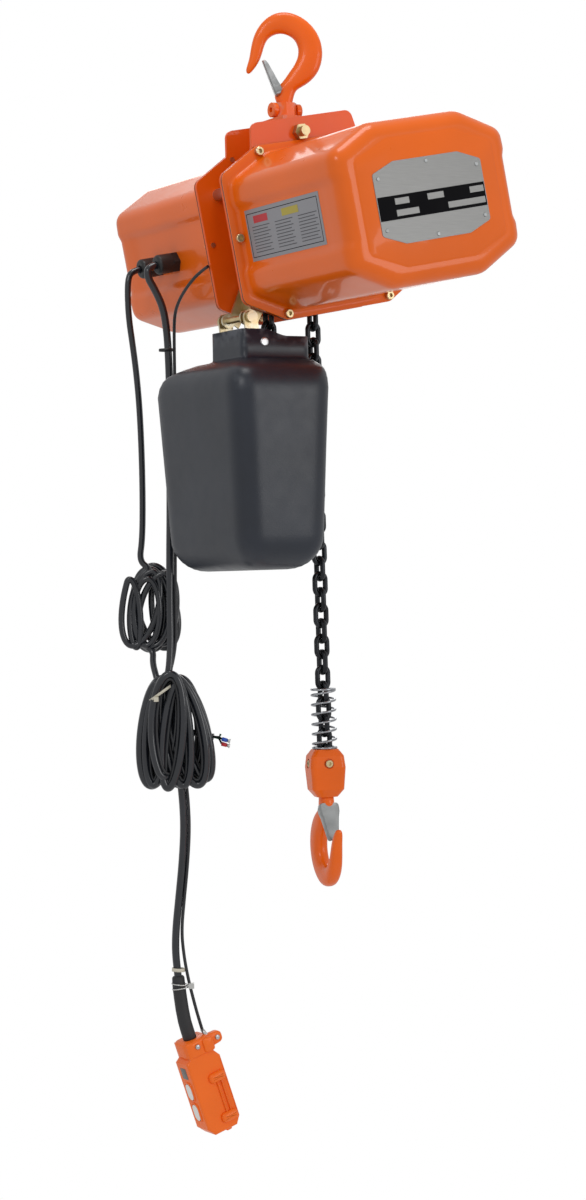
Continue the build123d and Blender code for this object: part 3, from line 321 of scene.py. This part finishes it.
def coil(centre, turns, start, finish, per_turn=14):
    """Points of a wound bundle: each turn is (half width, half height, depth, lean, shift)."""
    centre = Vector(centre) / 1000
    spots = []
    span = len(turns) - 1
    steps = int(per_turn * (finish - start) / 360)
    for i in range(steps + 1):
        angle = radians(start + (finish - start) * i / steps)
        where = (finish - start) * i / steps / 360
        k = min(int(where), span - 1)
        mix = min(1.0, where - k)
        w, h, depth, lean, shift = [a + (b - a) * mix for a, b in zip(turns[k], turns[k + 1])]
        x, z = w * cos(angle), h * sin(angle)
        lean = radians(lean)
        x, z = x * cos(lean) - z * sin(lean), x * sin(lean) + z * cos(lean)
        spots.append(centre + (FACE * (x + shift) + UP * z + AWAY * depth) / 1000)
    return spots


COIL_CENTRE = (-109, 190, -694)
HANK_CENTRE = (-100, 140, -846)
POWER_DOWN = mm(
    (-107.3, 190, -266.7),
    (-119.5, 190, -269.5), (-124.5, 190, -281), (-125.5, 190, -304), (-124.5, 190, -331),
    (-120.5, 190, -361), (-116.5, 190, -396), (-113.4, 190, -440), (-112.2, 190, -500), (-112.8, 190, -560),
    (-115, 190, -606), (-119, 192, -632),
)
POWER_TURNS = [(27, 53, -6, 0, 8), (5, 41, -14, -13, -32), (23, 50, -7, -4, 4), (14, 40, -11, -6, -4),
               (27, 54, -2, 8, 8), (19, 45, 3, -10, -4), (30, 58, 8, 4, 10), (13, 40, 10, 14, 20),
               (22, 48, -9, -14, 14), (31, 56, -2, 0, 9)]
POWER_TAIL = mm(
    (-112.6, 176, -760), (-114, 163, -778), (-112, 158, -800), (-100, 156, -826),
    (-82, 146, -846), (-64, 128, -852), (-58, 122, -853),
)
COIL_START = 100
COIL_END = COIL_START + 9 * 360 - 190
power_points = POWER_DOWN + coil(COIL_CENTRE, POWER_TURNS, COIL_START, COIL_END) + POWER_TAIL
PENDANT_DOWN = mm(
    (-107.3, 145, -266.7), (-119, 145, -269.5), (-119.5, 145, -282), (-111, 143, -297), (-102, 140.5, -318),
    (-98, 139, -345), (-96.6, 138.5, -390), (-97.3, 138.5, -450), (-98.9, 139, -510), (-100.2, 139.6, -570),
    (-102.6, 140, -630), (-104.2, 140, -690), (-105.6, 138, -740),
)
PENDANT_LOWER = mm(
    (-97.6, 139.6, -892), (-96.5, 140, -905), (-94, 140, -935), (-93.6, 140, -968), (-97.5, 140, -1010),
    (-104, 140, -1055), (-109, 140, -1090), (-110.6, 140, -1118), (-107.9, 140, -1148), (-105.6, 140, -1175),
    (-101.2, 140, -1204.3), (-94.2, 140, -1226),
)
HANK_TURNS = [(20, 68, -10, -4, -16), (14, 64, -7, -8, -30), (25, 70, -3, -6, -22), (9, 60, 3, -10, -28),
              (20, 66, 8, -2, -14), (26, 70, 13, 8, 12), (14, 60, 7, 13, 24), (20, 64, -2, 15, 18),
              (27, 73, -8, 9, 6), (11, 62, -15, -2, 2), (22, 76, -19, -8, -14), (24, 76, -23, 15, 6)]
HANK_START = 80
HANK_END = HANK_START + 10 * 360 + 150
pendant_points = PENDANT_DOWN + coil(HANK_CENTRE, HANK_TURNS, HANK_START, HANK_END) + PENDANT_LOWER
STRAIN_DOWN = mm(
    (-94.9, 32, -280.7), (-97.5, 50, -286), (-99, 78, -299), (-98, 104, -314), (-94, 124, -328),
    (-91, 133, -346), (-90.7, 135.2, -390), (-91.4, 135.2, -450), (-93, 135.7, -510), (-94.3, 136.3, -570),
    (-96.7, 136.7, -630), (-98.3, 136.7, -690), (-99.5, 135, -740),
)
STRAIN_LOWER = mm(
    (-91.1, 135.7, -892),
    (-90.6, 136.7, -905), (-88.1, 136.7, -935), (-87.7, 136.7, -968), (-91.6, 136.7, -1010),
    (-98.1, 136.7, -1055), (-103, 136.6, -1092), (-101.8, 134.6, -1122), (-98, 132.6, -1150),
    (-92, 132, -1176), (-85, 133.4, -1200), (-79, 135, -1217),
)
WIRE_INSET = 6.6
strain_turns = [(w - WIRE_INSET, h - WIRE_INSET, depth, lean, shift)
                for w, h, depth, lean, shift in HANK_TURNS]
strain_points = STRAIN_DOWN + coil(HANK_CENTRE, strain_turns, HANK_START, HANK_END) + STRAIN_LOWER
power = cord("power_cord_line", power_points, 0.004, "cord_black", "hoist_body", ("power_cord", "power_coil"))
pendant = cord("pendant_cord_line", pendant_points, 0.00475, "cord_black", "hoist_body",
               ("pendant_cord_upper", "cord_hank", "pendant_cord_lower"))
strain = cord("strain_wire_line", strain_points, 0.002, "strain", "hoist_body", ("strain_wire",))


# Drawn steel covers ---------------------------------------------------------------
def cover_outline(recess):
    side, panel = 0.118, 0.118 - 0.006 * recess
    half = [(panel, 0.033), (side, 0.042), (0.117, 0.066), (0.062, 0.094)]
    top = half + [(-x, z) for x, z in reversed(half)]
    return top + [(-x, -z) for x, z in top]


COVER_RADII = [0.009, 0.011, 0.022, 0.03, 0.03, 0.022, 0.011, 0.009] * 2
ANGLES = [2 * pi * i / 336 for i in range(336)]


def octagon(half_w, half_h, cut_w, cut_h):
    xi, zi = half_w - cut_w, half_h - cut_h
    right_side = [(half_w, zi), (xi, half_h)]
    top = right_side + [(-x, z) for x, z in reversed(right_side)]
    return top + [(-x, -z) for x, z in top]


def make_cover(name, side, depth, body_node):
    start, end = 0.0345, 0.033 + depth
    flange = octagon(0.1275, 0.1045, 0.054, 0.0285)
    rings = []

    def ring(outline, radii, y):
        shape = polar(rounded(outline, radii), ANGLES)
        rings.append([in_world(x, side * y, z) for x, z in shape])

    flange_r = [0.012] * 8
    ring(flange, flange_r, start)
    ring(flange, flange_r, start + 0.0014)
    ring(shrink(flange, 0.0006), flange_r, start + 0.002)
    for out, y in ((0.0045, 0.002), (0.0022, 0.0026), (0.0008, 0.004), (0.0, 0.0065)):
        ring(shrink(cover_outline(0.75), -out), COVER_RADII, start + y)
    ring(cover_outline(1), COVER_RADII, start + 0.016)
    bend = 0.019
    for t in np.linspace(0.1, 1, 8):
        ring(cover_outline(1), COVER_RADII, start + 0.016 + (end - 0.058 - start - 0.016) * t)
    for t in (0.25, 0.5, 0.75, 1.0):
        ring(cover_outline(1 - 0.35 * t * t * (3 - 2 * t)), COVER_RADII, end - 0.058 + 0.034 * t)
    for i in range(9):
        a = radians(90 * i / 8)
        inset = bend * (1 - cos(a))
        radii = [max(0.003, r - inset * 0.4) for r in COVER_RADII]
        ring(shrink(cover_outline(0.6 * cos(a)), inset), radii, end - bend + bend * sin(a))
    crease = octagon(0.0933, 0.0719, 0.0468, 0.0193)
    ring(shrink(crease, -0.0015), [0.008] * 8, end)
    ring(crease, [0.008] * 8, end + 0.0003)
    ring(shrink(crease, 0.0016), [0.008] * 8, end + 0.0012)
    verts, faces = loft(rings, cap_start=False)
    if side > 0:
        faces = [tuple(reversed(f)) for f in faces]
    obj = piece(name, verts, faces, "orange", "hoist_body", (body_node,))
    shell = obj.modifiers.new("thickness", "SOLIDIFY")
    shell.thickness = 0.0016
    shell.offset = -1
    return obj


make_cover("front_cover_shell", -1, 0.242, "front_cover")
make_cover("rear_cover_shell", 1, 0.257, "rear_cover")


# Forged hooks ---------------------------------------------------------------------
# Each station: outer and inner point of the bow, then half the thickness.
HOOK_STATIONS = [
    ((8, -112), (-8, -112), 8), ((8, -90), (-8, -90), 8), ((9.2, -85), (-9.2, -85), 9),
    ((11, -77), (-13, -77), 9),
    ((14.1, -68), (-11.5, -66.5), 8.6), ((22, -64.5), (-6.1, -62), 8.6), ((32, -58.5), (0, -55.5), 9),
    ((40.5, -49.5), (6.5, -46), 9.2), ((45.5, -39), (12.5, -38.5), 9.5), ((47.8, -27), (17.2, -29), 9.5),
    ((47, -14), (18.2, -19.5), 9.5), ((43, -2), (15.8, -11.2), 9.5), ((36, 8.8), (11.2, -5.2), 9.5),
    ((26, 18.2), (5, -1.5), 9.5), ((13, 25), (-1, 0.1), 9.5), ((-1, 27), (-6, 0.1), 9.5),
    ((-14, 23.6), (-11, -1.2), 9), ((-25, 15.2), (-15.6, -3.6), 8.8), ((-33, 4), (-19.5, -7.4), 8.3),
    ((-37.6, -8), (-22.6, -13), 7.6), ((-40, -20), (-25, -21), 7), ((-42, -30.5), (-28.2, -30), 6.3),
    ((-45, -38.5), (-32.5, -37.5), 5.6), ((-46.2, -43.5), (-38, -44), 4.5),
    ((-44.8, -46.8), (-41.8, -47.2), 2.4),
]


def make_hook(name, origin, azimuth, sign, body, node):
    a = radians(azimuth)
    u, v = Vector((cos(a), sin(a), 0)), Vector((0, 0, sign))
    w = u.cross(v)
    rings = []
    for outer, inner, thick in HOOK_STATIONS:
        o, i = Vector(outer), Vector(inner)
        mid, half = (o + i) / 2, (o - i) / 2
        ring = []
        for k in range(16):
            t = 2 * pi * k / 16
            c, s = cos(t), sin(t)
            power = 0.78
            along = abs(c) ** power * (1 if c >= 0 else -1)
            wide = abs(s) ** power * (1 if s >= 0 else -1)
            flat = mid + half * along
            ring.append(Vector(origin) + (u * flat.x + v * flat.y + w * thick * wide) / 1000)
        rings.append(ring)
    verts, faces = loft(rings)
    obj = piece(name, verts, faces, "forged", body, (node,))
    skin = obj.modifiers.new("skin", "SUBSURF")
    skin.levels = skin.render_levels = 2
    return obj


make_hook("top_hook_forging", (0, 0, 0), -29.7, 1, "top_hook", "top_hook")
make_hook("load_hook_forging", (RUN_X, 0, -1.010), 79, -1, "load_hook", "load_hook")


LATCH_PIVOT = Vector((-7.7, -69.8))
LATCH_END = Vector((-21.5, -31))
# Each station: share of the way from pivot to end, half the width, depth of the cheeks.
LATCH_STATIONS = [(-0.14, 10.5, 3.5), (-0.1, 12.2, 7), (0, 12.6, 10), (0.12, 12.4, 10), (0.28, 10.6, 9),
                  (0.6, 8.6, 7.5), (0.85, 7.4, 6), (0.97, 6.6, 4.5), (1, 5.6, 3)]


def make_latch(name, origin, azimuth, sign, body, node):
    """Tapered sheet channel across the throat, its web on the outer side."""
    a = radians(azimuth)
    u, v = Vector((cos(a), sin(a), 0)), Vector((0, 0, sign))
    w = u.cross(v)
    run = LATCH_END - LATCH_PIVOT
    inward = Vector((run.y, -run.x)).normalized()
    rings = []
    for t, half, deep in LATCH_STATIONS:
        web = LATCH_PIVOT + run * t - inward * 5
        section = [(-half, deep), (-half, 1.6), (-half + 1.6, 0), (half - 1.6, 0), (half, 1.6), (half, deep),
                   (half - 1.4, deep), (half - 1.4, 2.2), (half - 2.2, 1.4), (-half + 2.2, 1.4),
                   (-half + 1.4, 2.2), (-half + 1.4, deep)]
        rings.append([Vector(origin) + (u * (web + inward * h).x + v * (web + inward * h).y + w * g) / 1000
                      for g, h in section])
    verts, faces = loft(rings)
    return piece(name, verts, faces, "latch_grey", body, (node,), smooth=False)


make_latch("top_latch_sheet", (0, 0, 0), -29.7, 1, "top_latch", "top_hook_latch")
make_latch("load_latch_sheet", (RUN_X, 0, -1.010), 79, -1, "load_latch", "load_hook_latch")


# Chain container ------------------------------------------------------------------
BUCKET_ANGLES = [2 * pi * i / 160 for i in range(160)]
# Each level of the shoulder: share of the full size, then height.
SHOULDER = [(0.25, -402), (0.5, -406), (0.7, -410), (0.82, -413.5), (0.9, -418), (0.96, -424.5), (1, -435)]


def slab(x0, x1, half_y, corner, z):
    mid, half = (x0 + x1) / 2, (x1 - x0) / 2
    box = [(half, half_y), (-half, half_y), (-half, -half_y), (half, -half_y)]
    shape = polar(rounded(box, [corner] * 4, 8), BUCKET_ANGLES)
    return [Vector(((mid + x), y, z(mid + x) if callable(z) else z)) / 1000 for x, y in shape]


def neck_top(x):
    t = min(1, max(0, (x + 62) / 34))
    return -361.5 - 8 * t * t * (3 - 2 * t)


def make_container():
    rings = [slab(-86.3, -1.4, 37.5, 3.5, neck_top), slab(-86.5, -1.3, 37.6, 3.5, -385)]
    rings += [slab(-86.8, -1.2, 37.8, 4, -394), slab(-88, -0.9, 40, 6, -397.5), slab(-93, -1.5, 47, 12, -400)]
    for t, z in SHOULDER:
        rings.append(slab(-93 - 41 * t, -1.5 - 6.5 * t, 47 + 61.5 * t, 12 + 13 * t, z))
    for t in np.linspace(0.05, 1, 9):
        rings.append(slab(-134 + 9 * t, -8 - 8 * t, 109 - 7 * t, 26, -435 - 172 * t))
    for i in range(1, 9):
        a = radians(90 * i / 8)
        e = 34 * (1 - cos(a))
        rings.append(slab(-125 + e, -16 - e, 102 - e, max(6, 26 - e * 0.5), -607 - 38 * sin(a)))
    verts, faces = loft(rings, cap_start=False)
    obj = piece("container_shell", verts, faces, "container", "container", ("chain_container",))
    shell = obj.modifiers.new("thickness", "SOLIDIFY")
    shell.thickness = 0.003
    shell.offset = -1
    return obj


make_container()


def dome(name, centre, normal, radius, height, mat, body):
    """Flat-topped round boss with a softened rim."""
    side = normal.cross(Vector((0.3, 0.2, 1))).normalized()
    other = normal.cross(side)
    rings = []
    profile = ((radius, -0.5), (radius, height * 0.6), (radius * 0.92, height * 0.9), (radius * 0.7, height))
    for r, h in profile:
        rings.append([Vector(centre) / 1000 + (side * cos(a) * r + other * sin(a) * r + normal * h) / 1000
                      for a in np.linspace(0, 2 * pi, 33)[:-1]])
    verts, faces = loft(rings)
    return piece(name, verts, faces, mat, body)


dome("neck_washer", (-60, -37.9, -377), Vector((0, -1, 0)), 8.2, 1.2, "copper", "container")
dome("neck_screw", (-60, -38.8, -377), Vector((0, -1, 0)), 5.6, 2.6, "steel", "container")
# Dark discs in the black print material stand for the holes: painted shade inside the neck hole and the drain
# hole.
dome("neck_hole_painted_shade", (-36, -37.7, -377), Vector((0, -1, 0)), 2.6, 0.2, "ink", "container")
dome("drain_hole_painted_shade", (-124.2, -62, -612), Vector((-0.96, 0, -0.28)), 1.7, 0.4, "ink", "container")
dome("neck_rivet", (-86.6, 14, -378), Vector((-1, 0, 0)), 4.4, 1.6, "steel", "container")


# Slack chain ----------------------------------------------------------------------
PILE_TOP = -0.44


def split_slack_chain():
    """Puts the chain lying in the container on the container, and the run above it on the body."""
    source = frame["nodes"]["slack_chain"]
    mesh = source.data
    spots = [source.matrix_world @ v.co for v in mesh.vertices]
    sides = {"slack_links": [], "slack_pile": []}
    for face in mesh.polygons:
        corners = tuple(face.vertices)
        high = max(spots[k].z for k in corners)
        sides["slack_pile" if high < PILE_TOP else "slack_links"].append(corners)
    for name, faces in sides.items():
        used = sorted({k for face in faces for k in face})
        order = {k: i for i, k in enumerate(used)}
        faces = [tuple(order[k] for k in face) for face in faces]
        piece(name, [spots[k] for k in used], faces, "chain_black",
              "container" if name == "slack_pile" else "hoist_body", ("slack_chain",))


split_slack_chain()

# Cord fittings, ties and terminals --------------------------------------------------
def tube(name, points, radii, mat, body, sides=20):
    """Round form along points, with a radius for each."""
    rings = []
    for i, p in enumerate(points):
        way = (points[min(i + 1, len(points) - 1)] - points[max(i - 1, 0)]).normalized()
        side = way.cross(Vector((0, 1, 0.1))).normalized()
        other = way.cross(side)
        rings.append([p + (side * cos(2 * pi * k / sides) + other * sin(2 * pi * k / sides)) * radii[i]
                      for k in range(sides)])
    verts, faces = loft(rings)
    return piece(name, verts, faces, mat, body)


boot_points = mm((-107.9, 140, -1148), (-107.7, 140, -1150), (-106.9, 140, -1162), (-105.4, 140, -1175),
                 (-103.4, 140, -1190), (-100.6, 140, -1205), (-97.2, 140, -1217), (-94.6, 140, -1225),
                 (-93.7, 140, -1227.5))
boot_radii = [0.0065, 0.0078, 0.0082, 0.0083, 0.0084, 0.0084, 0.0085, 0.0085, 0.0085]
boot = tube("boot_sleeve", boot_points, boot_radii, "rubber", "hoist_body")
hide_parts("pendant_boot")
for i, (colour, y, z) in enumerate((("blue", 108.5, -858), ("red", 110, -864), ("green", 112, -852))):
    path = mm((-58.5, 122.3, -853), (-53, 118, -853.5 - i), (-50, y + 6, z + 2), (-45, y + 2, z),
              (-42, y, z - 1))
    sheath = "green" if colour == "green" else "ink"
    tube(f"lead_{colour}", path[:3], [0.0013] * 3, sheath, "hoist_body", 10)
    if colour != "green":
        tube(f"sleeve_{colour}", path[2:4], [0.0026, 0.0024], colour, "hoist_body", 14)
        tube(f"terminal_{colour}", path[3:], [0.0015, 0.003], "tin", "hoist_body", 12)



def strap(name, centre, half_w, half_d, lean, band, thick, mat, count=36):
    """Flat band round a bundle, as wide as band along its axis."""
    middle = Vector(centre) / 1000
    axis = (UP * cos(radians(lean)) + FACE * sin(radians(lean))).normalized()
    wide = axis.cross(AWAY).normalized()
    rings = []
    for i in range(count):
        t = 2 * pi * i / count
        way = wide * half_w * cos(t) + AWAY * half_d * sin(t)
        out = way.normalized() * thick
        rim = middle + way / 1000
        rings.append([rim - axis * band / 2000, rim + axis * band / 2000,
                      rim + axis * band / 2000 + out / 1000, rim - axis * band / 2000 + out / 1000])
    rings.append(rings[0])
    verts, faces = loft(rings, cap_start=False, cap_end=False)
    return piece(name, verts, faces, mat, "hoist_body")


def tie_head(name, spot, size, mat):
    """Small block of a tie."""
    middle = Vector(spot) / 1000
    verts, faces = loft([[middle + (FACE * x + UP * z + AWAY * y) * size / 1000 for x, z in
                          ((-1, -1), (1, -1), (1, 1), (-1, 1))] for y in (-1.1, 1.1)])
    return piece(name, verts, faces, mat, "hoist_body", smooth=False)


ties = [
    strap("tie_hank_top", (-119, 142.5, -796), 16, 24, -34, 3.2, 1.1, "tie"),
    strap("tie_hank_low", (-97, 139, -908), 9.6, 8, 4, 3.4, 1.1, "tie"),
    strap("tie_boot", (-107.8, 138.5, -1140), 7.2, 6.8, 4, 4.2, 1.0, "tie"),
    strap("clip_wire_high", (-106.6, 138, -1158), 9.6, 9.4, 6, 1.2, 0.9, "tin"),
    strap("clip_wire_low", (-106.0, 138, -1163), 9.6, 9.4, -8, 1.2, 0.9, "tin"),
    strap("tie_upper_coil", (-99.5, 139, -372), 8.4, 7.4, 0, 3.2, 1.0, "gland"),
    tie_head("tie_head_top", (-135, 124, -803), 2.8, "tie"),
    tie_head("tie_head_low", (-99, 130, -910), 2.4, "tie"),
    tie_head("clip_body", (-95.5, 128.8, -1160), 3.4, "tin"),
]

# Push-button station --------------------------------------------------------------
STATION_X, STATION_Y, STATION_Z = -93.5, 140, -1228
LEAN = radians(-18)


def in_pendant(x, y, z):
    return Vector((x * cos(LEAN) + z * sin(LEAN) + STATION_X, STATION_Y + y,
                   -x * sin(LEAN) + z * cos(LEAN) + STATION_Z)) / 1000


def trim(outline, levels, plane="front"):
    """Outline carried through levels of (distance along the normal, inset)."""
    rings = []
    for far, inset in levels:
        shape = shrink(outline, inset)
        rings.append([in_pendant(x, far, z) if plane == "front" else
                      in_pendant(x, z, far) if plane == "top" else in_pendant(far, x, z) for x, z in shape])
    return loft(rings)


def joined(name, shapes, mat):
    """One piece from several closed forms."""
    verts, faces = [], []
    for more, their_faces in shapes:
        faces += [tuple(k + len(verts) for k in face) for face in their_faces]
        verts += more
    return piece(name, verts, faces, mat, "hoist_body")


def slot_outline(x0, x1, z0, z1, corner):
    return rounded([(x1, z1), (x0, z1), (x0, z0), (x1, z0)], [corner] * 4, 8)


COLLAR = rounded([(19.5, 18.5), (-17.5, 18.5), (-17.5, -18.5), (19.5, -18.5)], [11] * 4, 8)
EAR = rounded([(36, -1), (14, 0), (14, -17), (36, -15)], [6.5, 2, 2, 6.5], 8)
EAR_PAD = rounded([(20, -1), (6, -1), (6, -19), (20, -19)], [4] * 4)
mouldings = [
    trim(COLLAR, [(-19.5, 1.5), (-18.6, 0.4), (-17, 0), (-3, 0), (-0.6, 0.6), (0.8, 2.4)], "top"),
    trim(EAR, [(-15, 1.2), (-14, 0), (-6, 0), (-5, 1.2)]),
    trim(EAR_PAD, [(-21, 1.5), (-20, 0), (-16, 0)]),
    trim(slot_outline(22.6, 23.4, -110, -34, 0.3), [(-17.5, 0.1), (-16.5, 0)]),
    trim(slot_outline(5, 13, -126.5, -119, 2), [(-9, 1), (-8, 0), (2, 0), (3, 1)]),
]
for z in (-53, -106):
    boss = slot_outline(-1, 22.5, z - 6.6, z + 6.6, 6.3)
    mouldings.append(trim(boss, [(-22.6, 5.2), (-22.3, 3.4), (-21.0, 1.3), (-19, 0.3), (-16.5, 0)]))
for x in (8, 14):
    mouldings.append(trim(slot_outline(x, x + 2.2, -104, -55, 1), [(-19.4, 0.8), (-19.0, 0.1), (-16.5, 0)]))
# Each level of a button's bezel: half width, half height, distance along X.
BEZEL = [(9.2, 13.2, -21.9), (9.0, 13.0, -23.0), (8.0, 12.0, -23.6), (7.1, 11.1, -23.0), (7.0, 11.0, -21.6)]
for z in (-62, -90):
    rims = []
    for half_y, half_z, far in BEZEL:
        rim = slot_outline(-half_y, half_y, z - half_z, z + half_z, half_y - 0.2)
        rims.append([in_pendant(far, y, height) for y, height in rim])
    mouldings.append(loft(rims, cap_start=False, cap_end=False))
screws = []
for x, z, front_y in ((29, -8, -15), (-2, -7, -19)):
    rim = [(x + 3.1 * cos(a), z + 3.1 * sin(a)) for a in np.linspace(0, 2 * pi, 25)[:-1]]
    screws.append(trim(rim, [(front_y - 2, 0.8), (front_y - 1.4, 0), (front_y + 1, 0)]))
plate = trim(slot_outline(-7, 7, -45, -30, 1.5), [(-22.4, 0.2), (-21.9, 0)], "side")
trims = [joined("pendant_mouldings", mouldings, "pendant"), joined("pendant_screws", screws, "steel"),
         joined("pendant_plate", [plate], "label")]
lug_points = mm((-79, 135, -1217), (-77.4, 132, -1221), (-73, 126, -1229))
lug = tube("wire_lug", lug_points, [0.0026, 0.0026, 0.0022], "tin", "hoist_body", 12)


# Labels ---------------------------------------------------------------------------
def panel(name, corners, thick, normal, mat, body):
    """A thin plate over flat corners, raised along the normal."""
    base = [Vector(c) for c in corners]
    rings = [base, [p + normal * thick for p in base]]
    verts, faces = loft(rings)
    return piece(name, verts, faces, mat, body, smooth=False)


OUT_LEFT = (in_world(-1, 0, 0) - in_world(0, 0, 0)).normalized()
FRONT = Vector((0, -1, 0))


def side_patch(name, y0, y1, z0, z1, lift, thick, mat):
    x = -0.1121 - lift
    corners = [in_world(x, y0, z0), in_world(x, y1, z0), in_world(x, y1, z1), in_world(x, y0, z1)]
    return panel(name, corners, thick, OUT_LEFT, mat, "hoist_body")


side_patch("side_label", -0.220, -0.046, -0.0305, 0.0300, 0.0, 0.0003, "print")
RULES = [(-0.215, -0.051, 0.0246, 0.0253), (-0.215, -0.051, -0.0263, -0.0256),
         (-0.215, -0.2143, -0.0263, 0.0253), (-0.0517, -0.051, -0.0263, 0.0253)]
for i, (y0, y1, z0, z1) in enumerate(RULES):
    side_patch(f"side_label_rule_{i}", y0, y1, z0, z1, 0.0003, 0.0002, "ink")
side_patch("side_label_red", -0.099, -0.066, 0.0130, 0.0215, 0.0003, 0.0002, "red")
side_patch("side_label_yellow", -0.171, -0.133, 0.0130, 0.0215, 0.0003, 0.0002, "print_yellow")
COLUMNS = [(-0.101, -0.060), (-0.155, -0.114), (-0.210, -0.168)]
LINE_STEP, LINE_HIGH, INDENT = 0.0037, 0.0009, 0.005
for column, (y0, y1) in enumerate(COLUMNS):
    for i in range(9):
        top = 0.0092 - LINE_STEP * i
        side_patch(f"side_label_line_{column}_{i}", y0 + INDENT * (i % 2), y1, top - LINE_HIGH, top, 0.0003,
                   0.0002, "print_line")


def nose_patch(name, x0, x1, z0, z1, lift, mat):
    y = -0.2770 - lift
    corners = [in_world(x0, y, z0), in_world(x1, y, z0), in_world(x1, y, z1), in_world(x0, y, z1)]
    return panel(name, corners, 0.0002, FRONT, mat, "hoist_body")


nose_patch("nameplate_band", -0.0726, 0.0726, -0.0185, 0.0085, 0.0, "ink")
for i, (x0, x1, z0, z1) in enumerate(((-0.050, -0.031, -0.002, 0.005), (-0.006, 0.016, -0.002, 0.005),
                                      (0.052, 0.071, -0.002, 0.005), (-0.050, -0.020, -0.0150, -0.008),
                                      (0.020, 0.071, -0.0150, -0.008))):
    nose_patch(f"nameplate_field_{i}", x0, x1, z0, z1, 0.0002, "label")

# Light and floor ------------------------------------------------------------------
SEEN_WHITE = 1.0
SURROUND = 0.62
world = bpy.data.worlds.new("studio")
world.use_nodes = True
sky = world.node_tree
surround = sky.nodes["Background"]
surround.inputs["Color"].default_value = (1, 1, 1, 1)
surround.inputs["Strength"].default_value = SURROUND
seen = sky.nodes.new("ShaderNodeBackground")
seen.inputs["Color"].default_value = (1, 1, 1, 1)
seen.inputs["Strength"].default_value = SEEN_WHITE
rays = sky.nodes.new("ShaderNodeLightPath")
either = sky.nodes.new("ShaderNodeMixShader")
sky.links.new(rays.outputs["Is Camera Ray"], either.inputs["Fac"])
sky.links.new(surround.outputs["Background"], either.inputs[1])
sky.links.new(seen.outputs["Background"], either.inputs[2])
sky.links.new(either.outputs["Shader"], sky.nodes["World Output"].inputs["Surface"])
bpy.context.scene.world = world
bpy.context.scene.view_settings.view_transform = "Standard"


def softbox(name, where, target, size, watts):
    lamp = bpy.data.lights.new(name, "AREA")
    lamp.energy = watts
    lamp.size = size
    obj = bpy.data.objects.new(name, lamp)
    bpy.context.scene.collection.objects.link(obj)
    obj.location = where
    obj.rotation_mode = "QUATERNION"
    obj.rotation_quaternion = (Vector(target) - Vector(where)).to_track_quat("-Z", "Y")
    obj.visible_camera = False


softbox("key", (-2.2, -1.6, 1.1), (0, 0, -0.4), 0.8, 11)
softbox("fill", (1.2, -2.8, -0.2), (0, 0, -0.5), 1.4, 15)
softbox("overhead", (-0.1, -0.3, 1.5), (0, 0, -0.3), 0.8, 10)
softbox("rear", (1.4, 2.4, 0.6), (0, 0, -0.4), 1.4, 12)

# A round floor, small enough to stay below the photograph's frame.
FLOOR_Z = before[0][2] - 0.3
FLOOR_R = 0.85
MATS["paper"] = material("floor_paper", (0.86, 0.86, 0.86), 0.8, vary=0.01, bump=0.02)
rim = [Vector((FLOOR_R * cos(a), FLOOR_R * sin(a), 0)) for a in np.linspace(0, 2 * pi, 97)[:-1]]
floor_verts, floor_faces = loft([[p + UP * (FLOOR_Z - 0.01) for p in rim], [p + UP * FLOOR_Z for p in rim]])
floor = piece("floor", floor_verts, floor_faces, "paper", "hoist_body", smooth=False)
